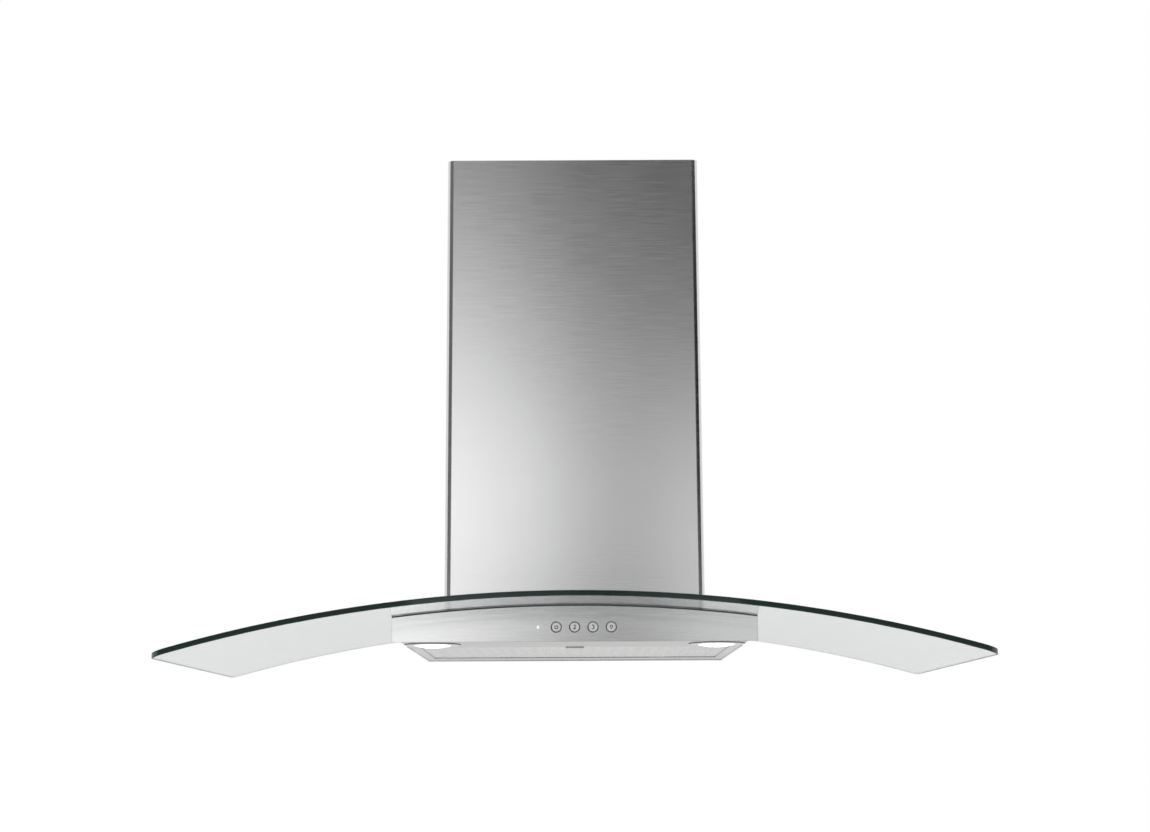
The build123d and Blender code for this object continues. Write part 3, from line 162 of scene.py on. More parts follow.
soft_box = bpy.data.objects.new("soft_box", bpy.data.lights.new("soft_box", "AREA"))
bpy.context.scene.collection.objects.link(soft_box)
soft_box.data.shape = "RECTANGLE"
soft_box.data.size = 2.4
soft_box.data.size_y = 1.8
soft_box.data.energy = 26.0
soft_box.location = (-1.5, -1.9, 2.7)
hood_middle = Vector((0.0, -0.25, 0.1))
soft_box.rotation_euler = (hood_middle - soft_box.location).to_track_quat("-Z", "Y").to_euler()
soft_box.visible_glossy = False

# ---------------------------------------------------------------------------------------------
# Reflector behind the camera. A hung sheet, bright on the left and low down, dim at the top
# right. The brushed steel mirrors it as the long shading from white to dark grey.
reflector_y = -4.5
reflector_half = 0.8
reflector_top = 3.2
reflector_glow, tree, where = new_finish("hung reflector sheet")
spot = add(tree, "SeparateXYZ", {"Vector": where})
across = add(
    tree, "MapRange", {"Value": spot.outputs["X"], "From Min": -reflector_half, "From Max": reflector_half}
)
upward = add(tree, "MapRange", {"Value": spot.outputs["Z"], "From Min": 0.0, "From Max": reflector_top})


def shade(steps, along):
    """A ramp of grey steps, each a place from 0 to 1 and a brightness."""
    node = add(tree, "ValToRGB", {"Fac": along})
    for place, _ in steps[1:-1]:
        node.color_ramp.elements.new(place)
    for element, (place, level) in zip(node.color_ramp.elements, steps):
        element.position = place
        element.color = (level, level, level, 1.0)
    return node.outputs["Color"]


# From left to right: what the fascia mirrors, what the foot of the flue does, and its top.
foot = shade(
    [
        (0.0, 0.96), (0.125, 0.96), (0.23, 0.56), (0.36, 0.31), (0.45, 0.19), (0.605, 0.04), (0.69, 0.24),
        (0.78, 0.46), (1.0, 0.50),
    ],
    across.outputs[0],
)
low = shade(
    [
        (0.0, 1.0), (0.30, 1.0), (0.344, 0.955), (0.42, 0.82), (0.50, 0.65), (0.60, 0.41), (0.68, 0.55),
        (0.78, 0.74), (1.0, 0.76),
    ],
    across.outputs[0],
)
high = shade(
    [
        (0.0, 0.90), (0.22, 0.88), (0.30, 0.70), (0.38, 0.54), (0.50, 0.34), (0.60, 0.26), (0.78, 0.165),
        (1.0, 0.14),
    ],
    across.outputs[0],
)
# From the floor up: the sheet fades, and a dark slit in it keeps the glass's front edge dark.
fall = shade(
    [(0.0, 1.0), (0.16, 1.0), (0.30, 0.85), (0.47, 0.50), (0.63, 0.18), (1.0, 0.02)], upward.outputs[0]
)
slit = shade(
    [(0.0, 1.0), (0.112, 1.0), (0.120, 0.15), (0.150, 0.15), (0.158, 1.0), (1.0, 1.0)], upward.outputs[0]
)
rise = add(tree, "MapRange", {"Value": spot.outputs["Z"], "From Min": 0.15, "From Max": 0.45})
turn = add(tree, "MapRange", {"Value": spot.outputs["Z"], "From Min": 0.5, "From Max": 1.5})
lower = add(tree, "Mix", {0: rise.outputs[0], 6: foot, 7: low}, data_type="RGBA")
side = add(tree, "Mix", {0: turn.outputs[0], 6: lower.outputs[2], 7: high}, data_type="RGBA")
sheet = add(tree, "Mix", {0: 1.0, 6: side.outputs[2], 7: fall}, data_type="RGBA", blend_type="MULTIPLY")
sheet = add(tree, "Mix", {0: 1.0, 6: sheet.outputs[2], 7: slit}, data_type="RGBA", blend_type="MULTIPLY")
glow = add(tree, "Emission", {"Color": sheet.outputs[2], "Strength": 2.0})
add(tree, "OutputMaterial", {"Surface": glow.outputs[0]})

sheet_corners = [
    (-reflector_half, reflector_y, floor_height),
    (reflector_half, reflector_y, floor_height),
    (reflector_half, reflector_y, reflector_top),
    (-reflector_half, reflector_y, reflector_top),
]
reflecting = [stand_board("reflector", sheet_corners, reflector_glow)]

# A grey cloth flag on each side of the sheet, which the round corners of the flue mirror.
flag_top = 2.6
flag_reach, flag_front = 4.6, -1.6
foot_grey = 0.22
for side_name, sign, level in (("left", -1, 0.14), ("right", 1, 0.0)):
    flag_cloth, tree, where = new_finish(f"{side_name} grey flag")
    spot = add(tree, "SeparateXYZ", {"Vector": where})
    grey = add(
        tree,
        "MapRange",
        {"Value": spot.outputs["Z"], "From Min": 0.4, "From Max": 0.5, "To Min": foot_grey, "To Max": level},
    )
    glow = add(tree, "Emission", {"Color": linear("#FFFFFF"), "Strength": grey.outputs[0]})
    add(tree, "OutputMaterial", {"Surface": glow.outputs[0]})
    inner, outer = (sign * reflector_half, reflector_y), (sign * flag_reach, flag_front)
    corners = [(*inner, 0.0), (*outer, 0.0), (*outer, flag_top), (*inner, flag_top)]
    reflecting.append(stand_board(f"flag_{side_name}", corners, flag_cloth))
for board in reflecting:
    board.visible_camera = False
    board.visible_diffuse = False
    board.visible_transmission = False
    board.visible_shadow = False


# ---------------------------------------------------------------------------------------------
# Body, control fascia and flue covers. Stainless sheet 0.8 to 1.2 mm thick, brushed along its
# length with a 320 grit belt before it is folded. The grain runs level on every upright face.
def dress(finish, *names):
    """Gives CAD nodes their finish."""
    for name in names:
        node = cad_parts[name]
        if not node.material_slots:
            node.data.materials.append(finish)
        for slot in node.material_slots:
            slot.material = finish


# Brushed stainless steel: a satin grey that smears reflections across the grain and keeps them
# fairly crisp along it. The belt's scratches are 0.05 mm wide, drawn 1.1 mm wide here to show.
mm = 0.001
grain_width = 1.1 * mm
grain_length = 45 * mm
bend_radius = 1.0 * mm
brushed_stainless, tree, where = new_finish("brushed stainless steel")
place = add(tree, "SeparateXYZ", {"Vector": where})
facing = add(tree, "SeparateXYZ", {"Vector": add(tree, "TexCoord").outputs["Normal"]})
tilt = add(tree, "Math", {0: facing.outputs["Z"]}, operation="ABSOLUTE")
level_face = add(tree, "Math", {0: tilt.outputs[0], 1: 0.7}, operation="GREATER_THAN")
upright_face = add(tree, "Math", {0: 1.0, 1: level_face.outputs[0]}, operation="SUBTRACT")
along = add(
    tree,
    "Math",
    {0: place.outputs["Y"], 1: upright_face.outputs[0], 2: place.outputs["X"]},
    operation="MULTIPLY_ADD",
)
over = add(
    tree,
    "Math",
    {0: place.outputs["Y"], 1: level_face.outputs[0], 2: place.outputs["Z"]},
    operation="MULTIPLY_ADD",
)
stretch_u = add(tree, "Math", {0: along.outputs[0], 1: 1 / grain_length}, operation="MULTIPLY")
stretch_v = add(tree, "Math", {0: over.outputs[0], 1: 1 / grain_width}, operation="MULTIPLY")
lay = add(tree, "CombineXYZ", {"X": stretch_u.outputs[0], "Y": stretch_v.outputs[0]})
grain = add(
    tree,
    "TexNoise",
    {"Vector": lay.outputs[0], "Scale": 1.0, "Detail": 3.0, "Roughness": 0.65},
    noise_dimensions="2D",
)
cloud = add(tree, "TexNoise", {"Vector": where, "Scale": 1 / (90 * mm), "Detail": 2.0})
tone = add(
    tree, "Mix", {0: grain.outputs["Fac"], 6: linear("#CBCBCC"), 7: linear("#DDDDDE")}, data_type="RGBA"
)
satin = add(
    tree,
    "MapRange",
    {"Value": grain.outputs["Fac"], "From Min": 0.3, "From Max": 0.7, "To Min": 0.15, "To Max": 0.19},
)
worn = add(tree, "Math", {0: cloud.outputs["Fac"], 1: 0.03, 2: satin.outputs[0]}, operation="MULTIPLY_ADD")
bend = add(tree, "Bevel", {"Radius": bend_radius}, samples=4)
scratch = add(
    tree,
    "Bump",
    {"Strength": 0.08, "Distance": 0.02 * mm, "Height": grain.outputs["Fac"], "Normal": bend.outputs[0]},
)
level_line = add(tree, "Tangent", direction_type="RADIAL", axis="Z")
steel = add(
    tree,
    "BsdfPrincipled",
    {
        "Base Color": tone.outputs[2],
        "Metallic": 1.0,
        "Roughness": worn.outputs[0],
        "Anisotropic": 0.7,
        "Anisotropic Rotation": 0.25,
        "Normal": scratch.outputs[0],
        "Tangent": level_line.outputs[0],
    },
)
add(tree, "OutputMaterial", {"Surface": steel.outputs[0]})
dress(brushed_stainless, "body_shell", "control_fascia", "lower_flue_cover", "upper_flue_cover")


def skin(form, rings, looped=False, capped=False):
    """Faces between each ring of points and the next, and over both ends if capped."""
    following = rings[1:] + (rings[:1] if looped else [])
    for ring, beside in zip(rings, following):
        for i in range(len(ring)):
            form.faces.new((ring[i - 1], ring[i], beside[i], beside[i - 1]))
    if capped:
        form.faces.new(rings[0])
        form.faces.new(rings[-1][::-1])
    bmesh.ops.recalc_face_normals(form, faces=form.faces)


def set_piece(name, form, finish, body):
    """Makes the finished form a piece of the hood, which moves with a body."""
    mesh = bpy.data.meshes.new(name)
    form.to_mesh(mesh)
    form.free()
    mesh.materials.append(finish)
    piece = bpy.data.objects.new(name, mesh)
    bpy.context.scene.collection.objects.link(piece)
    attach(piece, body)
    return piece


def lay_rim(name, half, front, rear, width, floor, top, finish, body):
    """A thin rim along the left, rear and right of a rectangle, its lower edges eased."""
    ease = (top - floor) / 4
    rim = bmesh.new()
    levels = []
    for z, inset in ((top, 0.0), (floor + ease, 0.0), (floor, ease)):
        outer, inner = half - inset, half - width + inset
        back, inner_back = rear - inset, rear - width + inset
        outline = [(-outer, front), (-outer, back), (outer, back), (outer, front)]
        outline += [(inner, front), (inner, inner_back), (-inner, inner_back), (-inner, front)]
        levels.append([rim.verts.new((x, y, z)) for x, y in outline])
    skin(rim, levels)
    for ring in (levels[0], levels[-1]):
        for a, b, c, d in ((0, 1, 6, 7), (1, 2, 5, 6), (2, 3, 4, 5)):
            rim.faces.new((ring[a], ring[b], ring[c], ring[d]))
    bmesh.ops.recalc_face_normals(rim, faces=rim.faces)
    set_piece(name, rim, finish, body)


# Folded hem that stands out of the underside, along both sides behind the lamps and the wall.
hem_front = -312 * mm
hem_sheet = 0.9 * mm
hem_drop = 1.1 * mm
body_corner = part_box("body_shell")[1]
lay_rim(
    "body_hem", body_corner.x, hem_front, body_corner.y, hem_sheet, -hem_drop, 0.0, brushed_stainless, "hood"
)

# ---------------------------------------------------------------------------------------------
# Glass canopy. One sheet of 6 mm float glass, cut, edge-ground, drilled, then bent over a mould
# and toughened. Its faces are clear with a trace of green, and its edges look bottle green.
canopy_glass, tree, where = new_finish("bent toughened float glass")
facing = add(tree, "SeparateXYZ", {"Vector": add(tree, "TexCoord").outputs["Normal"]})
tilt = add(tree, "Math", {0: facing.outputs["Z"]}, operation="ABSOLUTE")
edge = add(tree, "MapRange", {"Value": tilt.outputs[0], "From Min": 0.80, "From Max": 0.45})
ground = add(tree, "TexNoise", {"Vector": where, "Scale": 1 / (3 * mm), "Detail": 2.0})
film = add(tree, "TexNoise", {"Vector": where, "Scale": 1 / (70 * mm), "Detail": 3.0})
dark_green = add(
    tree, "Mix", {0: ground.outputs["Fac"], 6: linear("#1B302D"), 7: linear("#243D39")}, data_type="RGBA"
)
tint = add(
    tree, "Mix", {0: edge.outputs[0], 6: linear("#F0F6F3"), 7: dark_green.outputs[2]}, data_type="RGBA"
)
clean = add(
    tree,
    "MapRange",
    {"Value": film.outputs["Fac"], "From Min": 0.35, "From Max": 0.75, "To Min": 0.0, "To Max": 0.02},
)
polish = add(tree, "Math", {0: edge.outputs[0], 1: 0.05, 2: clean.outputs[0]}, operation="MULTIPLY_ADD")
clear = add(tree, "MapRange", {"Value": edge.outputs[0], "To Min": 1.0, "To Max": 0.3})
glass = add(
    tree,
    "BsdfPrincipled",
    {
        "Base Color": tint.outputs[2],
        "Roughness": polish.outputs[0],
        "IOR": 1.52,
        "Transmission Weight": clear.outputs[0],
    },
)
add(tree, "OutputMaterial", {"Surface": glass.outputs[0]})
dress(canopy_glass, "glass_canopy")

# ---------------------------------------------------------------------------------------------
# Glass fixings. The glass lies on a strip of closed-cell foam, and four screws with rubber
# grommets hold it through its holes to nuts pressed into the body.
pore_size = 1.2 * mm
foam_seal, tree, where = new_finish("closed-cell rubber foam")
pores = add(tree, "TexVoronoi", {"Vector": where, "Scale": 1 / pore_size})
tone = add(
    tree, "Mix", {0: pores.outputs["Distance"], 6: linear("#1E1F20"), 7: linear("#37393A")}, data_type="RGBA"
)
pitted = add(tree, "Bump", {"Strength": 0.5, "Distance": 0.3 * mm, "Height": pores.outputs["Distance"]})
foam = add(
    tree, "BsdfPrincipled", {"Base Color": tone.outputs[2], "Roughness": 0.9, "Normal": pitted.outputs[0]}
)
add(tree, "OutputMaterial", {"Surface": foam.outputs[0]})
dress(foam_seal, "glass_gasket")

# Bead of grey silicone sealant in the corner between the fascia's face and the glass above it,
# wiped smooth with a finger: a dull dark grey. The dark bead is put where the gap under the glass
# shows shade, and its grey stands in for that shade: painted shade.
# Painted shade: this dull dark grey stands in for the shade in the gap between the fascia and the glass.
gap_shade_sealant, tree, where = new_finish("grey sealant painted as gap shade")
wiped = add(tree, "TexNoise", {"Vector": where, "Scale": 1 / (14 * mm), "Detail": 3.0})
tone = add(
    tree, "Mix", {0: wiped.outputs["Fac"], 6: linear("#353638"), 7: linear("#4A4B4D")}, data_type="RGBA"
)
cured = add(tree, "MapRange", {"Value": wiped.outputs["Fac"], "To Min": 0.4, "To Max": 0.6})
gap_shade_silicone = add(tree, "BsdfPrincipled", {"Base Color": tone.outputs[2], "Roughness": cured.outputs[0]})
add(tree, "OutputMaterial", {"Surface": gap_shade_silicone.outputs[0]})

# Depth and height of its outline in millimetres, from the top front edge of the fascia.
gap_shade_bead_profile = [(0.3, 0.2), (-1.3, 0.2), (-1.2, -0.5), (-0.7, -1.1), (0.0, -1.4), (0.3, -1.4)]
gap_shade_bead_steps = 80
fascia_low, fascia_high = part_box("control_fascia")
fascia_points = [v.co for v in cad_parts["control_fascia"].data.vertices]
end_top = max(point.z for point in fascia_points if point.x > fascia_high.x - 0.1 * mm)
sagitta = fascia_high.z - end_top
bend = (fascia_high.x**2 + sagitta**2) / (2 * sagitta)
gap_shade_bead = bmesh.new()
rings = []
for step in range(gap_shade_bead_steps + 1):
    x = fascia_high.x * (2 * step / gap_shade_bead_steps - 1)
    top = fascia_high.z - bend + math.sqrt(bend**2 - x**2)
    rings.append([gap_shade_bead.verts.new((x, fascia_low.y + y * mm, top + z * mm)) for y, z in gap_shade_bead_profile])
skin(gap_shade_bead, rings, capped=True)
set_piece("fascia_gap_shade_bead", gap_shade_bead, gap_shade_sealant, "hood")

# Moulded rubber: matt black with a faint grey bloom.
rubber_grommet, tree, where = new_finish("moulded black rubber")
bloom = add(tree, "TexNoise", {"Vector": where, "Scale": 1 / (4 * mm), "Detail": 4.0})
tone = add(
    tree, "Mix", {0: bloom.outputs["Fac"], 6: linear("#151515"), 7: linear("#2A2A2A")}, data_type="RGBA"
)
dull = add(tree, "MapRange", {"Value": bloom.outputs["Fac"], "To Min": 0.55, "To Max": 0.8})
rubber = add(tree, "BsdfPrincipled", {"Base Color": tone.outputs[2], "Roughness": dull.outputs[0]})
add(tree, "OutputMaterial", {"Surface": rubber.outputs[0]})
dress(rubber_grommet, "glass_grommets")

# Zinc-plated steel: bright, a little blue, clouded by the plating bath and by handling.
zinc_screw, tree, where = new_finish("zinc-plated steel")
bath = add(tree, "TexNoise", {"Vector": where, "Scale": 1 / (2.5 * mm), "Detail": 4.0})
tone = add(
    tree, "Mix", {0: bath.outputs["Fac"], 6: linear("#AEB4BB"), 7: linear("#D3D6D6")}, data_type="RGBA"
)
cloudy = add(tree, "MapRange", {"Value": bath.outputs["Fac"], "To Min": 0.2, "To Max": 0.42})
zinc = add(
    tree, "BsdfPrincipled", {"Base Color": tone.outputs[2], "Metallic": 1.0, "Roughness": cloudy.outputs[0]}
)
add(tree, "OutputMaterial", {"Surface": zinc.outputs[0]})
dress(zinc_screw, "glass_screws", "box_screws", "body_nuts")

# ---------------------------------------------------------------------------------------------
# Push buttons. Four round caps of moulded ABS, sprayed with a pale satin silver lacquer, each in
# a grey ring, with a sign printed on its face: power, two fan speeds and the lamps.
lacquer_grain = 0.5 * mm
button_cap, tree, where = new_finish("silver-lacquered ABS")
spray = add(tree, "TexNoise", {"Vector": where, "Scale": 1 / lacquer_grain, "Detail": 3.0})
tone = add(
    tree, "Mix", {0: spray.outputs["Fac"], 6: linear("#F0F0EE"), 7: linear("#F8F8F6")}, data_type="RGBA"
)
satin = add(tree, "MapRange", {"Value": spray.outputs["Fac"], "To Min": 0.28, "To Max": 0.4})
cap = add(tree, "BsdfPrincipled", {"Base Color": tone.outputs[2], "Roughness": satin.outputs[0]})
add(tree, "OutputMaterial", {"Surface": cap.outputs[0]})
dress(button_cap, "button_power", "button_speed_2", "button_speed_3", "button_light")

# Pad-printed ink: flat dark grey, a little thin where the pad lifted first.
sign_ink, tree, where = new_finish("pad-printed ink")
thin = add(tree, "TexNoise", {"Vector": where, "Scale": 1 / (0.4 * mm), "Detail": 2.0})
tone = add(
    tree, "Mix", {0: thin.outputs["Fac"], 6: linear("#1B1B1C"), 7: linear("#2E2E31")}, data_type="RGBA"
)
ink = add(tree, "BsdfPrincipled", {"Base Color": tone.outputs[2], "Roughness": 0.5})
add(tree, "OutputMaterial", {"Surface": ink.outputs[0]})

ink_width = 0.85  # these two in millimetres, like the strokes below
ink_height = 0.05


def bow(x, z, radius, start, end, steps=20):
    """Points along a round stroke, from one angle to another in degrees."""
    turns = [math.radians(start + (end - start) * i / steps) for i in range(steps + 1)]
    return [(x + radius * math.cos(t), z + radius * math.sin(t)) for t in turns]


def print_sign(name, button, strokes):
    """Ribbons of ink along the strokes, in millimetres about the middle of a button's face."""
    lowest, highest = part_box(button)
    mid_x, mid_z = (lowest.x + highest.x) / 2, (lowest.z + highest.z) / 2
    ribbon = bmesh.new()
    for stroke in strokes:
        rows = []
        for i, point in enumerate(stroke):
            before, after = Vector(stroke[max(i - 1, 0)]), Vector(stroke[min(i + 1, len(stroke) - 1)])
            heading = (after - before).normalized()
            aside = Vector((-heading.y, heading.x)) * ink_width / 2
            pair = (Vector(point) + aside, Vector(point) - aside)
            rows.append([ribbon.verts.new((mid_x + p.x * mm, lowest.y, mid_z + p.y * mm)) for p in pair])
        for (a, b), (c, d) in zip(rows, rows[1:]):
            ribbon.faces.new((a, b, d, c))
    bmesh.ops.recalc_face_normals(ribbon, faces=ribbon.faces)
    for face in ribbon.faces:
        if face.normal.y > 0:
            face.normal_flip()
    raised = bmesh.ops.extrude_face_region(ribbon, geom=ribbon.faces[:])
    top = [item for item in raised["geom"] if isinstance(item, bmesh.types.BMVert)]
    bmesh.ops.translate(ribbon, verts=top, vec=(0.0, -ink_height * mm, 0.0))
    set_piece(name, ribbon, sign_ink, button)


# A broken ring with a bar, a two, a three, and a round bulb over its cap.
standby = [bow(0, -0.1, 1.75, 125, 415), [(0, 2.1), (0, 0.35)]]
two = [bow(0, 0.95, 1.15, 165, -35) + [(-1.25, -2.0), (-1.25, -2.0)], [(-1.45, -1.95), (1.45, -1.95)]]
three = [bow(-0.1, 1.0, 1.05, 150, -80), bow(-0.1, -0.95, 1.2, 85, -150)]
bulb = [bow(0, 0.45, 1.35, -60, 240), [(-0.62, -1.3), (0.62, -1.3)], [(-0.45, -2.05), (0.45, -2.05)]]
for use, strokes in (("power", standby), ("speed_2", two), ("speed_3", three), ("light", bulb)):
    print_sign(f"sign_{use}", f"button_{use}", strokes)

# Button rings: the same moulding compound in mid grey, with a faint flow mark.
ring_grey, tree, where = new_finish("moulded grey ABS")
flow = add(tree, "TexNoise", {"Vector": where, "Scale": 1 / (3 * mm), "Detail": 2.0})
tone = add(
    tree, "Mix", {0: flow.outputs["Fac"], 6: linear("#505153"), 7: linear("#626365")}, data_type="RGBA"
)
dull = add(tree, "MapRange", {"Value": flow.outputs["Fac"], "To Min": 0.45, "To Max": 0.6})
ring = add(tree, "BsdfPrincipled", {"Base Color": tone.outputs[2], "Roughness": dull.outputs[0]})
add(tree, "OutputMaterial", {"Surface": ring.outputs[0]})
dress(ring_grey, "button_bezels")

# Dark moulded ABS: near black, fine spark-eroded grain of 0.1 mm, drawn 0.6 mm to show.
black_plastic, tree, where = new_finish("moulded black ABS")
spark = add(tree, "TexNoise", {"Vector": where, "Scale": 1 / (0.6 * mm), "Detail": 2.0})
flow = add(tree, "TexNoise", {"Vector": where, "Scale": 1 / (45 * mm), "Detail": 2.0})
tone = add(
    tree, "Mix", {0: flow.outputs["Fac"], 6: linear("#1A1B1C"), 7: linear("#292A2C")}, data_type="RGBA"
)
sheen = add(tree, "MapRange", {"Value": flow.outputs["Fac"], "To Min": 0.38, "To Max": 0.55})
grained = add(tree, "Bump", {"Strength": 0.25, "Distance": 0.05 * mm, "Height": spark.outputs["Fac"]})
moulded = add(
    tree,
    "BsdfPrincipled",
    {"Base Color": tone.outputs[2], "Roughness": sheen.outputs[0], "Normal": grained.outputs[0]},
)
add(tree, "OutputMaterial", {"Surface": moulded.outputs[0]})
dress(
    black_plastic,
    "switch_module",
    "impeller",
    "junction_box",
    "junction_cover",
    "mains_gland",
    "lamp_transformer",
)

# ---------------------------------------------------------------------------------------------
# Indicator light. A short rod of clear cast resin with a domed end, milky inside. It glows a
# little by itself, which paints the glint of its dome as a small white dot: painted highlight.
indicator_resin_painted_glint, tree, where = new_finish("milky cast resin")
milk = add(tree, "TexNoise", {"Vector": where, "Scale": 1 / (0.8 * mm), "Detail": 2.0})
tone = add(
    tree, "Mix", {0: milk.outputs["Fac"], 6: linear("#F1F3F4"), 7: linear("#FFFFFF")}, data_type="RGBA"
)
resin_with_painted_glint = add(
    tree,
    "BsdfPrincipled",
    {
        "Base Color": tone.outputs[2],
        "Roughness": 0.12,
        "IOR": 1.5,
        # Painted highlight: this glow stands in for the glint on the dome.
        "Emission Color": linear("#FFFFFF"),
        "Emission Strength": 0.5,
    },
)
add(tree, "OutputMaterial", {"Surface": resin_with_painted_glint.outputs[0]})
dress(indicator_resin_painted_glint, "indicator_lens")

# ---------------------------------------------------------------------------------------------
# Lamps. A turned brass ring plated with chrome holds a frosted window, with a spun aluminium
# bowl behind it, and a small capsule bulb in a ceramic socket at the top.
chromed_trim, tree, where = new_finish("chromium plate")
wiped = add(tree, "TexNoise", {"Vector": where, "Scale": 1 / (9 * mm), "Detail": 4.0})
tone = add(
    tree, "Mix", {0: wiped.outputs["Fac"], 6: linear("#D9DCDF"), 7: linear("#E9EBEC")}, data_type="RGBA"
)
haze = add(tree, "MapRange", {"Value": wiped.outputs["Fac"], "To Min": 0.06, "To Max": 0.16})
chrome = add(
    tree, "BsdfPrincipled", {"Base Color": tone.outputs[2], "Metallic": 1.0, "Roughness": haze.outputs[0]}
)
add(tree, "OutputMaterial", {"Surface": chrome.outputs[0]})
dress(chromed_trim, "lamp_bezel_left", "lamp_bezel_right")

# Rubber seal round each bezel, extruded as a cord and squeezed flat against the body. The
# rubber is a dull mid grey with a faint bloom. This dark ring is put where the recess round the
# bezel's front rim is in shade, and its grey stands in for that shade: painted shade.
# Painted shade: this dark grey ring stands in for the shade at the bezel's front rim.
shade_ring_rubber, tree, where = new_finish("grey rubber painted as rim shade")
bloom = add(tree, "TexNoise", {"Vector": where, "Scale": 1 / (4 * mm), "Detail": 4.0})
tone = add(
    tree, "Mix", {0: bloom.outputs["Fac"], 6: linear("#3C3D3F"), 7: linear("#505153")}, data_type="RGBA"
)
dull = add(tree, "MapRange", {"Value": bloom.outputs["Fac"], "To Min": 0.6, "To Max": 0.8})
rubber = add(tree, "BsdfPrincipled", {"Base Color": tone.outputs[2], "Roughness": dull.outputs[0]})
add(tree, "OutputMaterial", {"Surface": rubber.outputs[0]})

# Radius and height of its outline in millimetres, round the axis of the lamp.
shade_ring_profile = [(31.0, 0.0), (31.6, 0.0), (31.7, -0.3), (31.5, -0.6), (31.0, -0.6)]
lamp_facets = 96
lamp_x, lamp_y = 160 * mm, -346 * mm
for side_name, sign in (("left", -1), ("right", 1)):
    shade_ring_form = bmesh.new()
    rings = []
    for step in range(lamp_facets):
        turned = math.tau * step / lamp_facets
        ring = []
        for r, z in shade_ring_profile:
            x = sign * lamp_x + r * mm * math.cos(turned)
            y = lamp_y + r * mm * math.sin(turned)
            ring.append(shade_ring_form.verts.new((x, y, z * mm)))
        rings.append(ring)
    skin(shade_ring_form, rings, looped=True)
    set_piece(f"lamp_rim_shade_ring_{side_name}", shade_ring_form, shade_ring_rubber, "hood")

# Acid-etched glass, lit from behind: a soft even white with a faint etch.
lamp_glass, tree, where = new_finish("acid-etched window glass")
etch = add(tree, "TexNoise", {"Vector": where, "Scale": 1 / (0.7 * mm), "Detail": 3.0})
tone = add(
    tree, "Mix", {0: etch.outputs["Fac"], 6: linear("#F2F4F3"), 7: linear("#FFFFFF")}, data_type="RGBA"
)
frost = add(tree, "MapRange", {"Value": etch.outputs["Fac"], "To Min": 0.4, "To Max": 0.55})
pitted = add(tree, "Bump", {"Strength": 0.15, "Distance": 0.05 * mm, "Height": etch.outputs["Fac"]})
window = add(
    tree,
    "BsdfPrincipled",
    {
        "Base Color": tone.outputs[2],
        "Roughness": frost.outputs[0],
        "IOR": 1.5,
        "Transmission Weight": 0.35,
        "Emission Color": linear("#FFFDF8"),
        "Emission Strength": 0.85,
        "Normal": pitted.outputs[0],
    },
)
add(tree, "OutputMaterial", {"Surface": window.outputs[0]})
dress(lamp_glass, "lamp_lens_left", "lamp_lens_right")

# The window is pressed with a crown that stands out of its ring. Sizes are in millimetres.
window_radius = 26.0
window_top = 3.0
crown_radius = 21.4
crown_floor = -0.7
crown_depth = 3.4
crown_steps = 12
falling = [math.pi / 2 * (crown_steps - step) / crown_steps for step in range(crown_steps + 1)]
crown = [(crown_radius * math.sin(t), crown_floor - crown_depth * math.cos(t) ** 1.5) for t in falling]
flange = [(0.0, window_top), (window_radius, window_top), (window_radius, 0.0), (crown_radius, 0.0)]
for side_name, sign in (("left", -1), ("right", 1)):
    pressed = bmesh.new()
    outline = [pressed.verts.new((sign * lamp_x + r * mm, lamp_y, z * mm)) for r, z in flange + crown]
    strips = [pressed.edges.new(pair) for pair in zip(outline, outline[1:])]
    bmesh.ops.spin(
        pressed,
        geom=outline + strips,
        cent=(sign * lamp_x, lamp_y, 0.0),
        axis=(0.0, 0.0, 1.0),
        angle=math.tau,
        steps=lamp_facets,
        use_merge=True,
    )
    bmesh.ops.remove_doubles(pressed, verts=pressed.verts, dist=0.01 * mm)
    bmesh.ops.recalc_face_normals(pressed, faces=pressed.faces)
    crowned = set_piece(f"lamp_window_{side_name}", pressed, lamp_glass, "hood")
    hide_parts(f"lamp_lens_{side_name}")

# Spun aluminium: bright, with the tool's rings round each lamp's axis. They are 0.2 mm apart
# on the real bowl, drawn 1 mm apart to show. Both bowls share the pattern, mirrored at x = 0.
ring_pitch = 1.0 * mm
spun_aluminium, tree, where = new_finish("spun aluminium")
place = add(tree, "SeparateXYZ", {"Vector": where})
off_x = add(tree, "Math", {0: place.outputs["X"]}, operation="ABSOLUTE")
from_axis = add(tree, "CombineXYZ", {"X": off_x.outputs[0], "Y": place.outputs["Y"], "Z": 0.0})
reach = add(tree, "VectorMath", {0: from_axis.outputs[0], 1: (lamp_x, lamp_y, 0.0)}, operation="DISTANCE")
spin = add(tree, "Math", {0: reach.outputs["Value"], 1: math.tau / ring_pitch}, operation="MULTIPLY")
rings = add(tree, "Math", {0: spin.outputs[0]}, operation="SINE")
tone = add(tree, "MapRange", {"Value": rings.outputs[0], "From Min": -1.0, "To Min": 0.28, "To Max": 0.4})
tooled = add(tree, "Bump", {"Strength": 0.3, "Distance": 0.04 * mm, "Height": rings.outputs[0]})
tint = add(tree, "Mix", {0: rings.outputs[0], 6: linear("#DADBDC"), 7: linear("#E9EAEB")}, data_type="RGBA")
bowl = add(
    tree,
    "BsdfPrincipled",
    {
        "Base Color": tint.outputs[2],
        "Metallic": 1.0,
        "Roughness": tone.outputs[0],
        "Normal": tooled.outputs[0],
    },
)
add(tree, "OutputMaterial", {"Surface": bowl.outputs[0]})
dress(spun_aluminium, "lamp_reflector_left", "lamp_reflector_right")

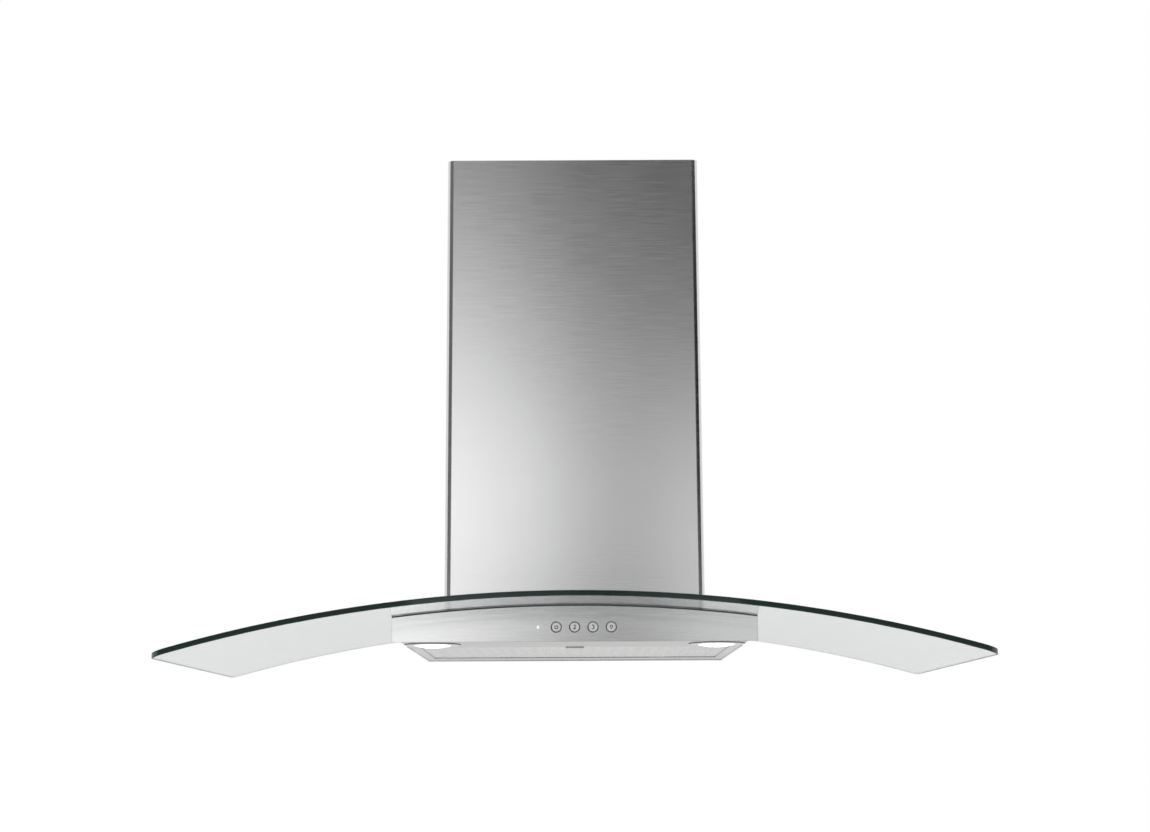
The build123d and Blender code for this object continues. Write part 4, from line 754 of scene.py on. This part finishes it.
# Quartz capsule: clear, faintly drawn along its length.
bulb_glass, tree, where = new_finish("drawn quartz glass")
drawn = add(tree, "TexNoise", {"Vector": where, "Scale": 1 / (5 * mm)})
tone = add(
    tree, "Mix", {0: drawn.outputs["Fac"], 6: linear("#F4F6F8"), 7: linear("#FFFFFF")}, data_type="RGBA"
)
smooth = add(tree, "MapRange", {"Value": drawn.outputs["Fac"], "To Min": 0.0, "To Max": 0.06})
quartz = add(
    tree,
    "BsdfPrincipled",
    {"Base Color": tone.outputs[2], "Roughness": smooth.outputs[0], "IOR": 1.46, "Transmission Weight": 1.0},
)
add(tree, "OutputMaterial", {"Surface": quartz.outputs[0]})
dress(bulb_glass, "lamp_bulb_left", "lamp_bulb_right")

# Glazed steatite: cream with a thin clear glaze, pooled a little unevenly.
socket_ceramic, tree, where = new_finish("glazed steatite")
pooled = add(tree, "TexNoise", {"Vector": where, "Scale": 1 / (6 * mm), "Detail": 3.0})
tone = add(
    tree, "Mix", {0: pooled.outputs["Fac"], 6: linear("#E2DBCB"), 7: linear("#F0EBDF")}, data_type="RGBA"
)
glaze = add(tree, "MapRange", {"Value": pooled.outputs["Fac"], "To Min": 0.25, "To Max": 0.45})
ceramic = add(
    tree,
    "BsdfPrincipled",
    {
        "Base Color": tone.outputs[2],
        "Roughness": glaze.outputs[0],
        "Coat Weight": 0.4,
        "Coat Roughness": 0.08,
    },
)
add(tree, "OutputMaterial", {"Surface": ceramic.outputs[0]})
dress(socket_ceramic, "lamp_socket_left", "lamp_socket_right")

# ---------------------------------------------------------------------------------------------
# Grease filter. Layers of expanded aluminium between two grilles in a rolled frame, washed
# often, so the metal is pale and slightly dulled. The latch in front is a nickelled pull.

# Mill-finish aluminium: rolling leaves lines across the sheet, here drawn wide enough to show.
streak_width, streak_length = 2.2 * mm, 30 * mm
filter_aluminium, tree, where = new_finish("mill-finish aluminium")
rolled = add(
    tree, "Mapping", {"Vector": where, "Scale": (1 / streak_length, 1 / streak_width, 1 / streak_width)}
)
streak = add(tree, "TexNoise", {"Vector": rolled.outputs[0], "Scale": 1.0, "Detail": 3.0})
washed = add(tree, "TexNoise", {"Vector": where, "Scale": 1 / (40 * mm), "Detail": 3.0})
tone = add(
    tree, "Mix", {0: washed.outputs["Fac"], 6: linear("#F6F6F5"), 7: linear("#FCFCFB")}, data_type="RGBA"
)
dulled = add(tree, "MapRange", {"Value": streak.outputs["Fac"], "To Min": 0.5, "To Max": 0.64})
lined = add(tree, "Bump", {"Strength": 0.1, "Distance": 0.05 * mm, "Height": streak.outputs["Fac"]})
alloy = add(
    tree,
    "BsdfPrincipled",
    {
        "Base Color": tone.outputs[2],
        "Metallic": 1.0,
        "Roughness": dulled.outputs[0],
        "Normal": lined.outputs[0],
    },
)
add(tree, "OutputMaterial", {"Surface": alloy.outputs[0]})
dress(filter_aluminium, "filter_frame", "filter_face", "filter_core", "filter_back")

# Rolled hem round the foot of the cassette, which hides the gap to the body.
face_low, face_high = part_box("filter_face")
frame_wall = 2.3 * mm
roll_reach = 1.0 * mm
roll_floor, roll_top = 1.35 * mm, 2.0 * mm
lay_rim(
    "filter_hem",
    face_high.x + frame_wall + roll_reach,
    face_low.y - frame_wall,
    face_high.y + frame_wall + roll_reach,
    2 * roll_reach,
    roll_floor,
    roll_top,
    filter_aluminium,
    "filter",
)

# The mesh layer next to the front grille. Its crimped foil bulges through the diamond openings
# nearly to the face of the grille, so that the filter looks almost plain from a low angle.
crimp_pitch = 5 * mm
crimp_rise = 0.25 * mm
crimp_sway, sway_rate = 1.5, 60.0
foil_lift = 0.15 * mm
foil_margin = 2 * mm
latch_side_room, latch_rear_room = 10 * mm, 12 * mm
latch_low, latch_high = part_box("filter_latch")
foil_width = face_high.x - face_low.x - 2 * foil_margin
foil_depth = face_high.y - face_low.y - 2 * foil_margin
columns = round(foil_width / (crimp_pitch / 4))
rows = round(foil_depth / (crimp_pitch / 4))
foil = bmesh.new()
grid = []
for j in range(rows + 1):
    y = face_low.y + foil_margin + foil_depth * j / rows
    line = []
    for i in range(columns + 1):
        x = face_low.x + foil_margin + foil_width * i / columns
        swayed = math.tau * x / crimp_pitch + crimp_sway * math.sin(sway_rate * y)
        wave = math.sin(swayed) * math.cos(math.tau * y / crimp_pitch)
        line.append(foil.verts.new((x, y, face_low.z + foil_lift + crimp_rise * (1 + wave) / 2)))
    grid.append(line)
for near, far in zip(grid, grid[1:]):
    for i in range(columns):
        at = near[i].co
        if abs(at.x) > latch_high.x + latch_side_room or at.y > latch_high.y + latch_rear_room:
            foil.faces.new((near[i], near[i + 1], far[i + 1], far[i]))
bmesh.ops.delete(foil, geom=[v for v in foil.verts if not v.link_faces], context="VERTS")
set_piece("filter_foil", foil, filter_aluminium, "filter")

# Satin nickel over a zinc casting: a warm mid grey, rubbed brighter in places by fingers.
satin_nickel, tree, where = new_finish("satin nickel plate")
rubbed = add(tree, "TexNoise", {"Vector": where, "Scale": 1 / (5 * mm), "Detail": 3.0})
tone = add(
    tree, "Mix", {0: rubbed.outputs["Fac"], 6: linear("#B4B3B0"), 7: linear("#CBCAC7")}, data_type="RGBA"
)
blasted = add(tree, "MapRange", {"Value": rubbed.outputs["Fac"], "To Min": 0.42, "To Max": 0.28})
nickel = add(
    tree, "BsdfPrincipled", {"Base Color": tone.outputs[2], "Metallic": 1.0, "Roughness": blasted.outputs[0]}
)
add(tree, "OutputMaterial", {"Surface": nickel.outputs[0]})
dress(satin_nickel, "filter_latch")

# Lip along the front bar of the latch, bent down far enough to catch a fingernail.
lip_front = latch_high.y - 16 * mm
lip_half = 10.5 * mm
lip_sheet = 1.2 * mm
lip_top, lip_foot = latch_low.z, -1.1 * mm
nose = (0.4 * mm, lip_foot - 0.3 * mm)
lip_profile = [(0.0, lip_top), (0.0, lip_foot), nose, (lip_sheet, lip_foot), (lip_sheet, lip_top)]
lip = bmesh.new()
ends = [[lip.verts.new((x, lip_front + y, z)) for y, z in lip_profile] for x in (-lip_half, lip_half)]
skin(lip, ends, capped=True)
set_piece("latch_lip", lip, satin_nickel, "filter_latch")

# ---------------------------------------------------------------------------------------------
# Springs. One round the stem of each button and one behind the latch, coiled cold from drawn
# wire 0.5 and 0.6 mm thick and oiled. The wire is grey, with darker patches of oil.
spring_steel, tree, where = new_finish("oiled spring wire")
oil = add(tree, "TexNoise", {"Vector": where, "Scale": 1 / (1.0 * mm), "Detail": 3.0})
tone = add(tree, "Mix", {0: oil.outputs["Fac"], 6: linear("#6F7174"), 7: linear("#A6A8AA")}, data_type="RGBA")
wet = add(tree, "MapRange", {"Value": oil.outputs["Fac"], "To Min": 0.22, "To Max": 0.4})
wire = add(
    tree, "BsdfPrincipled", {"Base Color": tone.outputs[2], "Metallic": 1.0, "Roughness": wet.outputs[0]}
)
add(tree, "OutputMaterial", {"Surface": wire.outputs[0]})
dress(spring_steel, "latch_spring", "spring_power", "spring_speed_2", "spring_speed_3", "spring_light")

steps_per_turn = 24
wire_facets = 10


def wind_spring(node, body, wire_radius, turns):
    """A coil in the place of the CAD's spring, whose rear end is fixed; it moves with a body."""
    low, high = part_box(node)
    middle = (low + high) / 2
    radius = (high.x - low.x) / 2 - wire_radius
    rise = (high.y - low.y - 2 * wire_radius) / turns
    coil = bmesh.new()
    rings = []
    for step in range(steps_per_turn * turns + 1):
        turned = math.tau * step / steps_per_turn
        outward = Vector((math.cos(turned), 0.0, math.sin(turned)))
        onward = Vector((-math.sin(turned), rise / (math.tau * radius), math.cos(turned))).normalized()
        front = low.y + wire_radius + rise * step / steps_per_turn
        spot = Vector((middle.x, front, middle.z)) + radius * outward
        aside = onward.cross(outward)
        ring = []
        for i in range(wire_facets):
            a = math.tau * i / wire_facets
            ring.append(coil.verts.new(spot + wire_radius * (math.cos(a) * outward + math.sin(a) * aside)))
        rings.append(ring)
    skin(coil, rings, capped=True)
    piece = set_piece(f"{node}_coil", coil, spring_steel, body)
    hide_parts(node)
    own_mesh(piece)


for use in ("power", "speed_2", "speed_3", "light"):
    wind_spring(f"spring_{use}", "hood", 0.25 * mm, 3)
wind_spring("latch_spring", "filter", 0.3 * mm, 5)

# ---------------------------------------------------------------------------------------------
# Switch board. Glass-epoxy board with a green solder mask over etched copper, behind the
# buttons. The tracks are 2 mm apart and stand a hair above the board under the mask.
track_pitch = 2.0 * mm
circuit_board, tree, where = new_finish("solder-masked epoxy board")
place = add(tree, "SeparateXYZ", {"Vector": where})
run = add(tree, "Math", {0: place.outputs["Z"], 1: math.tau / track_pitch}, operation="MULTIPLY")
wave = add(tree, "Math", {0: run.outputs[0]}, operation="SINE")
track = add(tree, "MapRange", {"Value": wave.outputs[0], "From Min": 0.55, "From Max": 0.75})
tone = add(tree, "Mix", {0: track.outputs[0], 6: linear("#1C5135"), 7: linear("#3B8052")}, data_type="RGBA")
etched = add(tree, "Bump", {"Strength": 0.4, "Distance": 0.035 * mm, "Height": track.outputs[0]})
board = add(
    tree,
    "BsdfPrincipled",
    {
        "Base Color": tone.outputs[2],
        "Roughness": 0.3,
        "Coat Weight": 0.3,
        "Coat Roughness": 0.1,
        "Normal": etched.outputs[0],
    },
)
add(tree, "OutputMaterial", {"Surface": board.outputs[0]})
dress(circuit_board, "switch_board")

# ---------------------------------------------------------------------------------------------
# Blower box, hanging plate and brackets. Hot-dip galvanised sheet, 0.8 to 2 mm, punched and
# folded. The zinc freezes into spangles about 9 mm across that differ in shine.
spangle = 9 * mm
galvanised_sheet, tree, where = new_finish("hot-dip galvanised sheet")
crystals = add(tree, "TexVoronoi", {"Vector": where, "Scale": 1 / spangle})
frosting = add(tree, "TexNoise", {"Vector": where, "Scale": 1 / (2 * mm), "Detail": 3.0})
shine = add(tree, "SeparateColor", {"Color": crystals.outputs["Color"]})
tone = add(tree, "Mix", {0: shine.outputs[0], 6: linear("#A3A8AB"), 7: linear("#C3C7C9")}, data_type="RGBA")
patch = add(tree, "MapRange", {"Value": shine.outputs[1], "To Min": 0.3, "To Max": 0.48})
frosted = add(
    tree, "Math", {0: frosting.outputs["Fac"], 1: 0.06, 2: patch.outputs[0]}, operation="MULTIPLY_ADD"
)
sheet = add(
    tree, "BsdfPrincipled", {"Base Color": tone.outputs[2], "Metallic": 1.0, "Roughness": frosted.outputs[0]}
)
add(tree, "OutputMaterial", {"Surface": sheet.outputs[0]})
dress(
    galvanised_sheet,
    "flue_bracket",
    "hanging_plate",
    "blower_box",
    "blower_box_cover",
    "motor_bracket",
    "capacitor_clip",
)

# ---------------------------------------------------------------------------------------------
# Scroll, outlet and flaps. Injection-moulded polypropylene with glass fibre: mid grey, dull,
# with faint swirls where the melt flowed.
grey_plastic, tree, where = new_finish("glass-filled polypropylene")
swirl = add(tree, "TexNoise", {"Vector": where, "Scale": 1 / (35 * mm), "Detail": 3.0, "Distortion": 1.5})
fibre = add(tree, "TexNoise", {"Vector": where, "Scale": 1 / (0.8 * mm), "Detail": 2.0})
tone = add(
    tree, "Mix", {0: swirl.outputs["Fac"], 6: linear("#7C8184"), 7: linear("#979B9D")}, data_type="RGBA"
)
dull = add(tree, "MapRange", {"Value": swirl.outputs["Fac"], "To Min": 0.5, "To Max": 0.68})
fibrous = add(tree, "Bump", {"Strength": 0.2, "Distance": 0.05 * mm, "Height": fibre.outputs["Fac"]})
moulded = add(
    tree,
    "BsdfPrincipled",
    {"Base Color": tone.outputs[2], "Roughness": dull.outputs[0], "Normal": fibrous.outputs[0]},
)
add(tree, "OutputMaterial", {"Surface": moulded.outputs[0]})
dress(
    grey_plastic, "scroll_left", "scroll_right", "outlet_adaptor", "outlet_collar", "flap_front", "flap_rear"
)

# ---------------------------------------------------------------------------------------------
# Motor. A stack of pressed steel laminations dipped in blue-black varnish, on a ground shaft
# that turns in bronze bushes. The laminations are 0.5 mm, drawn 1.5 mm to show.
lamination = 1.5 * mm
motor_paint, tree, where = new_finish("varnished steel laminations")
place = add(tree, "SeparateXYZ", {"Vector": where})
count = add(tree, "Math", {0: place.outputs["X"], 1: math.tau / lamination}, operation="MULTIPLY")
stack = add(tree, "Math", {0: count.outputs[0]}, operation="SINE")
drip = add(tree, "TexNoise", {"Vector": where, "Scale": 1 / (12 * mm), "Detail": 3.0})
tone = add(
    tree, "Mix", {0: drip.outputs["Fac"], 6: linear("#1D2227"), 7: linear("#343B42")}, data_type="RGBA"
)
ridged = add(tree, "Bump", {"Strength": 0.5, "Distance": 0.1 * mm, "Height": stack.outputs[0]})
dipped = add(
    tree,
    "BsdfPrincipled",
    {
        "Base Color": tone.outputs[2],
        "Roughness": 0.45,
        "Coat Weight": 0.5,
        "Coat Roughness": 0.15,
        "Normal": ridged.outputs[0],
    },
)
add(tree, "OutputMaterial", {"Surface": dipped.outputs[0]})
dress(motor_paint, "motor")

# Ground steel: bright, with fine rings round the shaft.
shaft_steel, tree, where = new_finish("ground steel")
wheel = add(tree, "Mapping", {"Vector": where, "Scale": (1 / (0.6 * mm), 1 / (20 * mm), 1 / (20 * mm))})
rings = add(tree, "TexNoise", {"Vector": wheel.outputs[0], "Scale": 1.0, "Detail": 2.0})
tone = add(
    tree, "Mix", {0: rings.outputs["Fac"], 6: linear("#BEC0C2"), 7: linear("#D4D5D6")}, data_type="RGBA"
)
cut = add(tree, "MapRange", {"Value": rings.outputs["Fac"], "To Min": 0.12, "To Max": 0.26})
ground = add(
    tree, "BsdfPrincipled", {"Base Color": tone.outputs[2], "Metallic": 1.0, "Roughness": cut.outputs[0]}
)
add(tree, "OutputMaterial", {"Surface": ground.outputs[0]})
dress(shaft_steel, "motor_shaft", "flap_pin")

# Sintered bronze: warm brown, with open pores that hold oil.
bearing_bronze, tree, where = new_finish("sintered bronze")
pores = add(tree, "TexNoise", {"Vector": where, "Scale": 1 / (0.5 * mm), "Detail": 4.0})
tone = add(
    tree, "Mix", {0: pores.outputs["Fac"], 6: linear("#86602F"), 7: linear("#C0935A")}, data_type="RGBA"
)
pitted = add(tree, "Bump", {"Strength": 0.4, "Distance": 0.05 * mm, "Height": pores.outputs["Fac"]})
bronze = add(
    tree,
    "BsdfPrincipled",
    {"Base Color": tone.outputs[2], "Metallic": 1.0, "Roughness": 0.45, "Normal": pitted.outputs[0]},
)
add(tree, "OutputMaterial", {"Surface": bronze.outputs[0]})
dress(bearing_bronze, "motor_bushes")

# ---------------------------------------------------------------------------------------------
# Run capacitor. A deep-drawn aluminium can, sealed with resin and lacquered, held to the box
# by its strap. Drawing leaves faint lines up its side.
capacitor_can, tree, where = new_finish("lacquered drawn aluminium")
die = add(tree, "Mapping", {"Vector": where, "Scale": (1 / (0.8 * mm), 1 / (0.8 * mm), 1 / (25 * mm))})
lines = add(tree, "TexNoise", {"Vector": die.outputs[0], "Scale": 1.0, "Detail": 2.0})
tone = add(
    tree, "Mix", {0: lines.outputs["Fac"], 6: linear("#C2C5C8"), 7: linear("#DADCDD")}, data_type="RGBA"
)
drawn = add(tree, "MapRange", {"Value": lines.outputs["Fac"], "To Min": 0.24, "To Max": 0.38})
can = add(
    tree,
    "BsdfPrincipled",
    {
        "Base Color": tone.outputs[2],
        "Metallic": 1.0,
        "Roughness": drawn.outputs[0],
        "Coat Weight": 0.3,
        "Coat Roughness": 0.1,
    },
)
add(tree, "OutputMaterial", {"Surface": can.outputs[0]})
dress(capacitor_can, "capacitor")
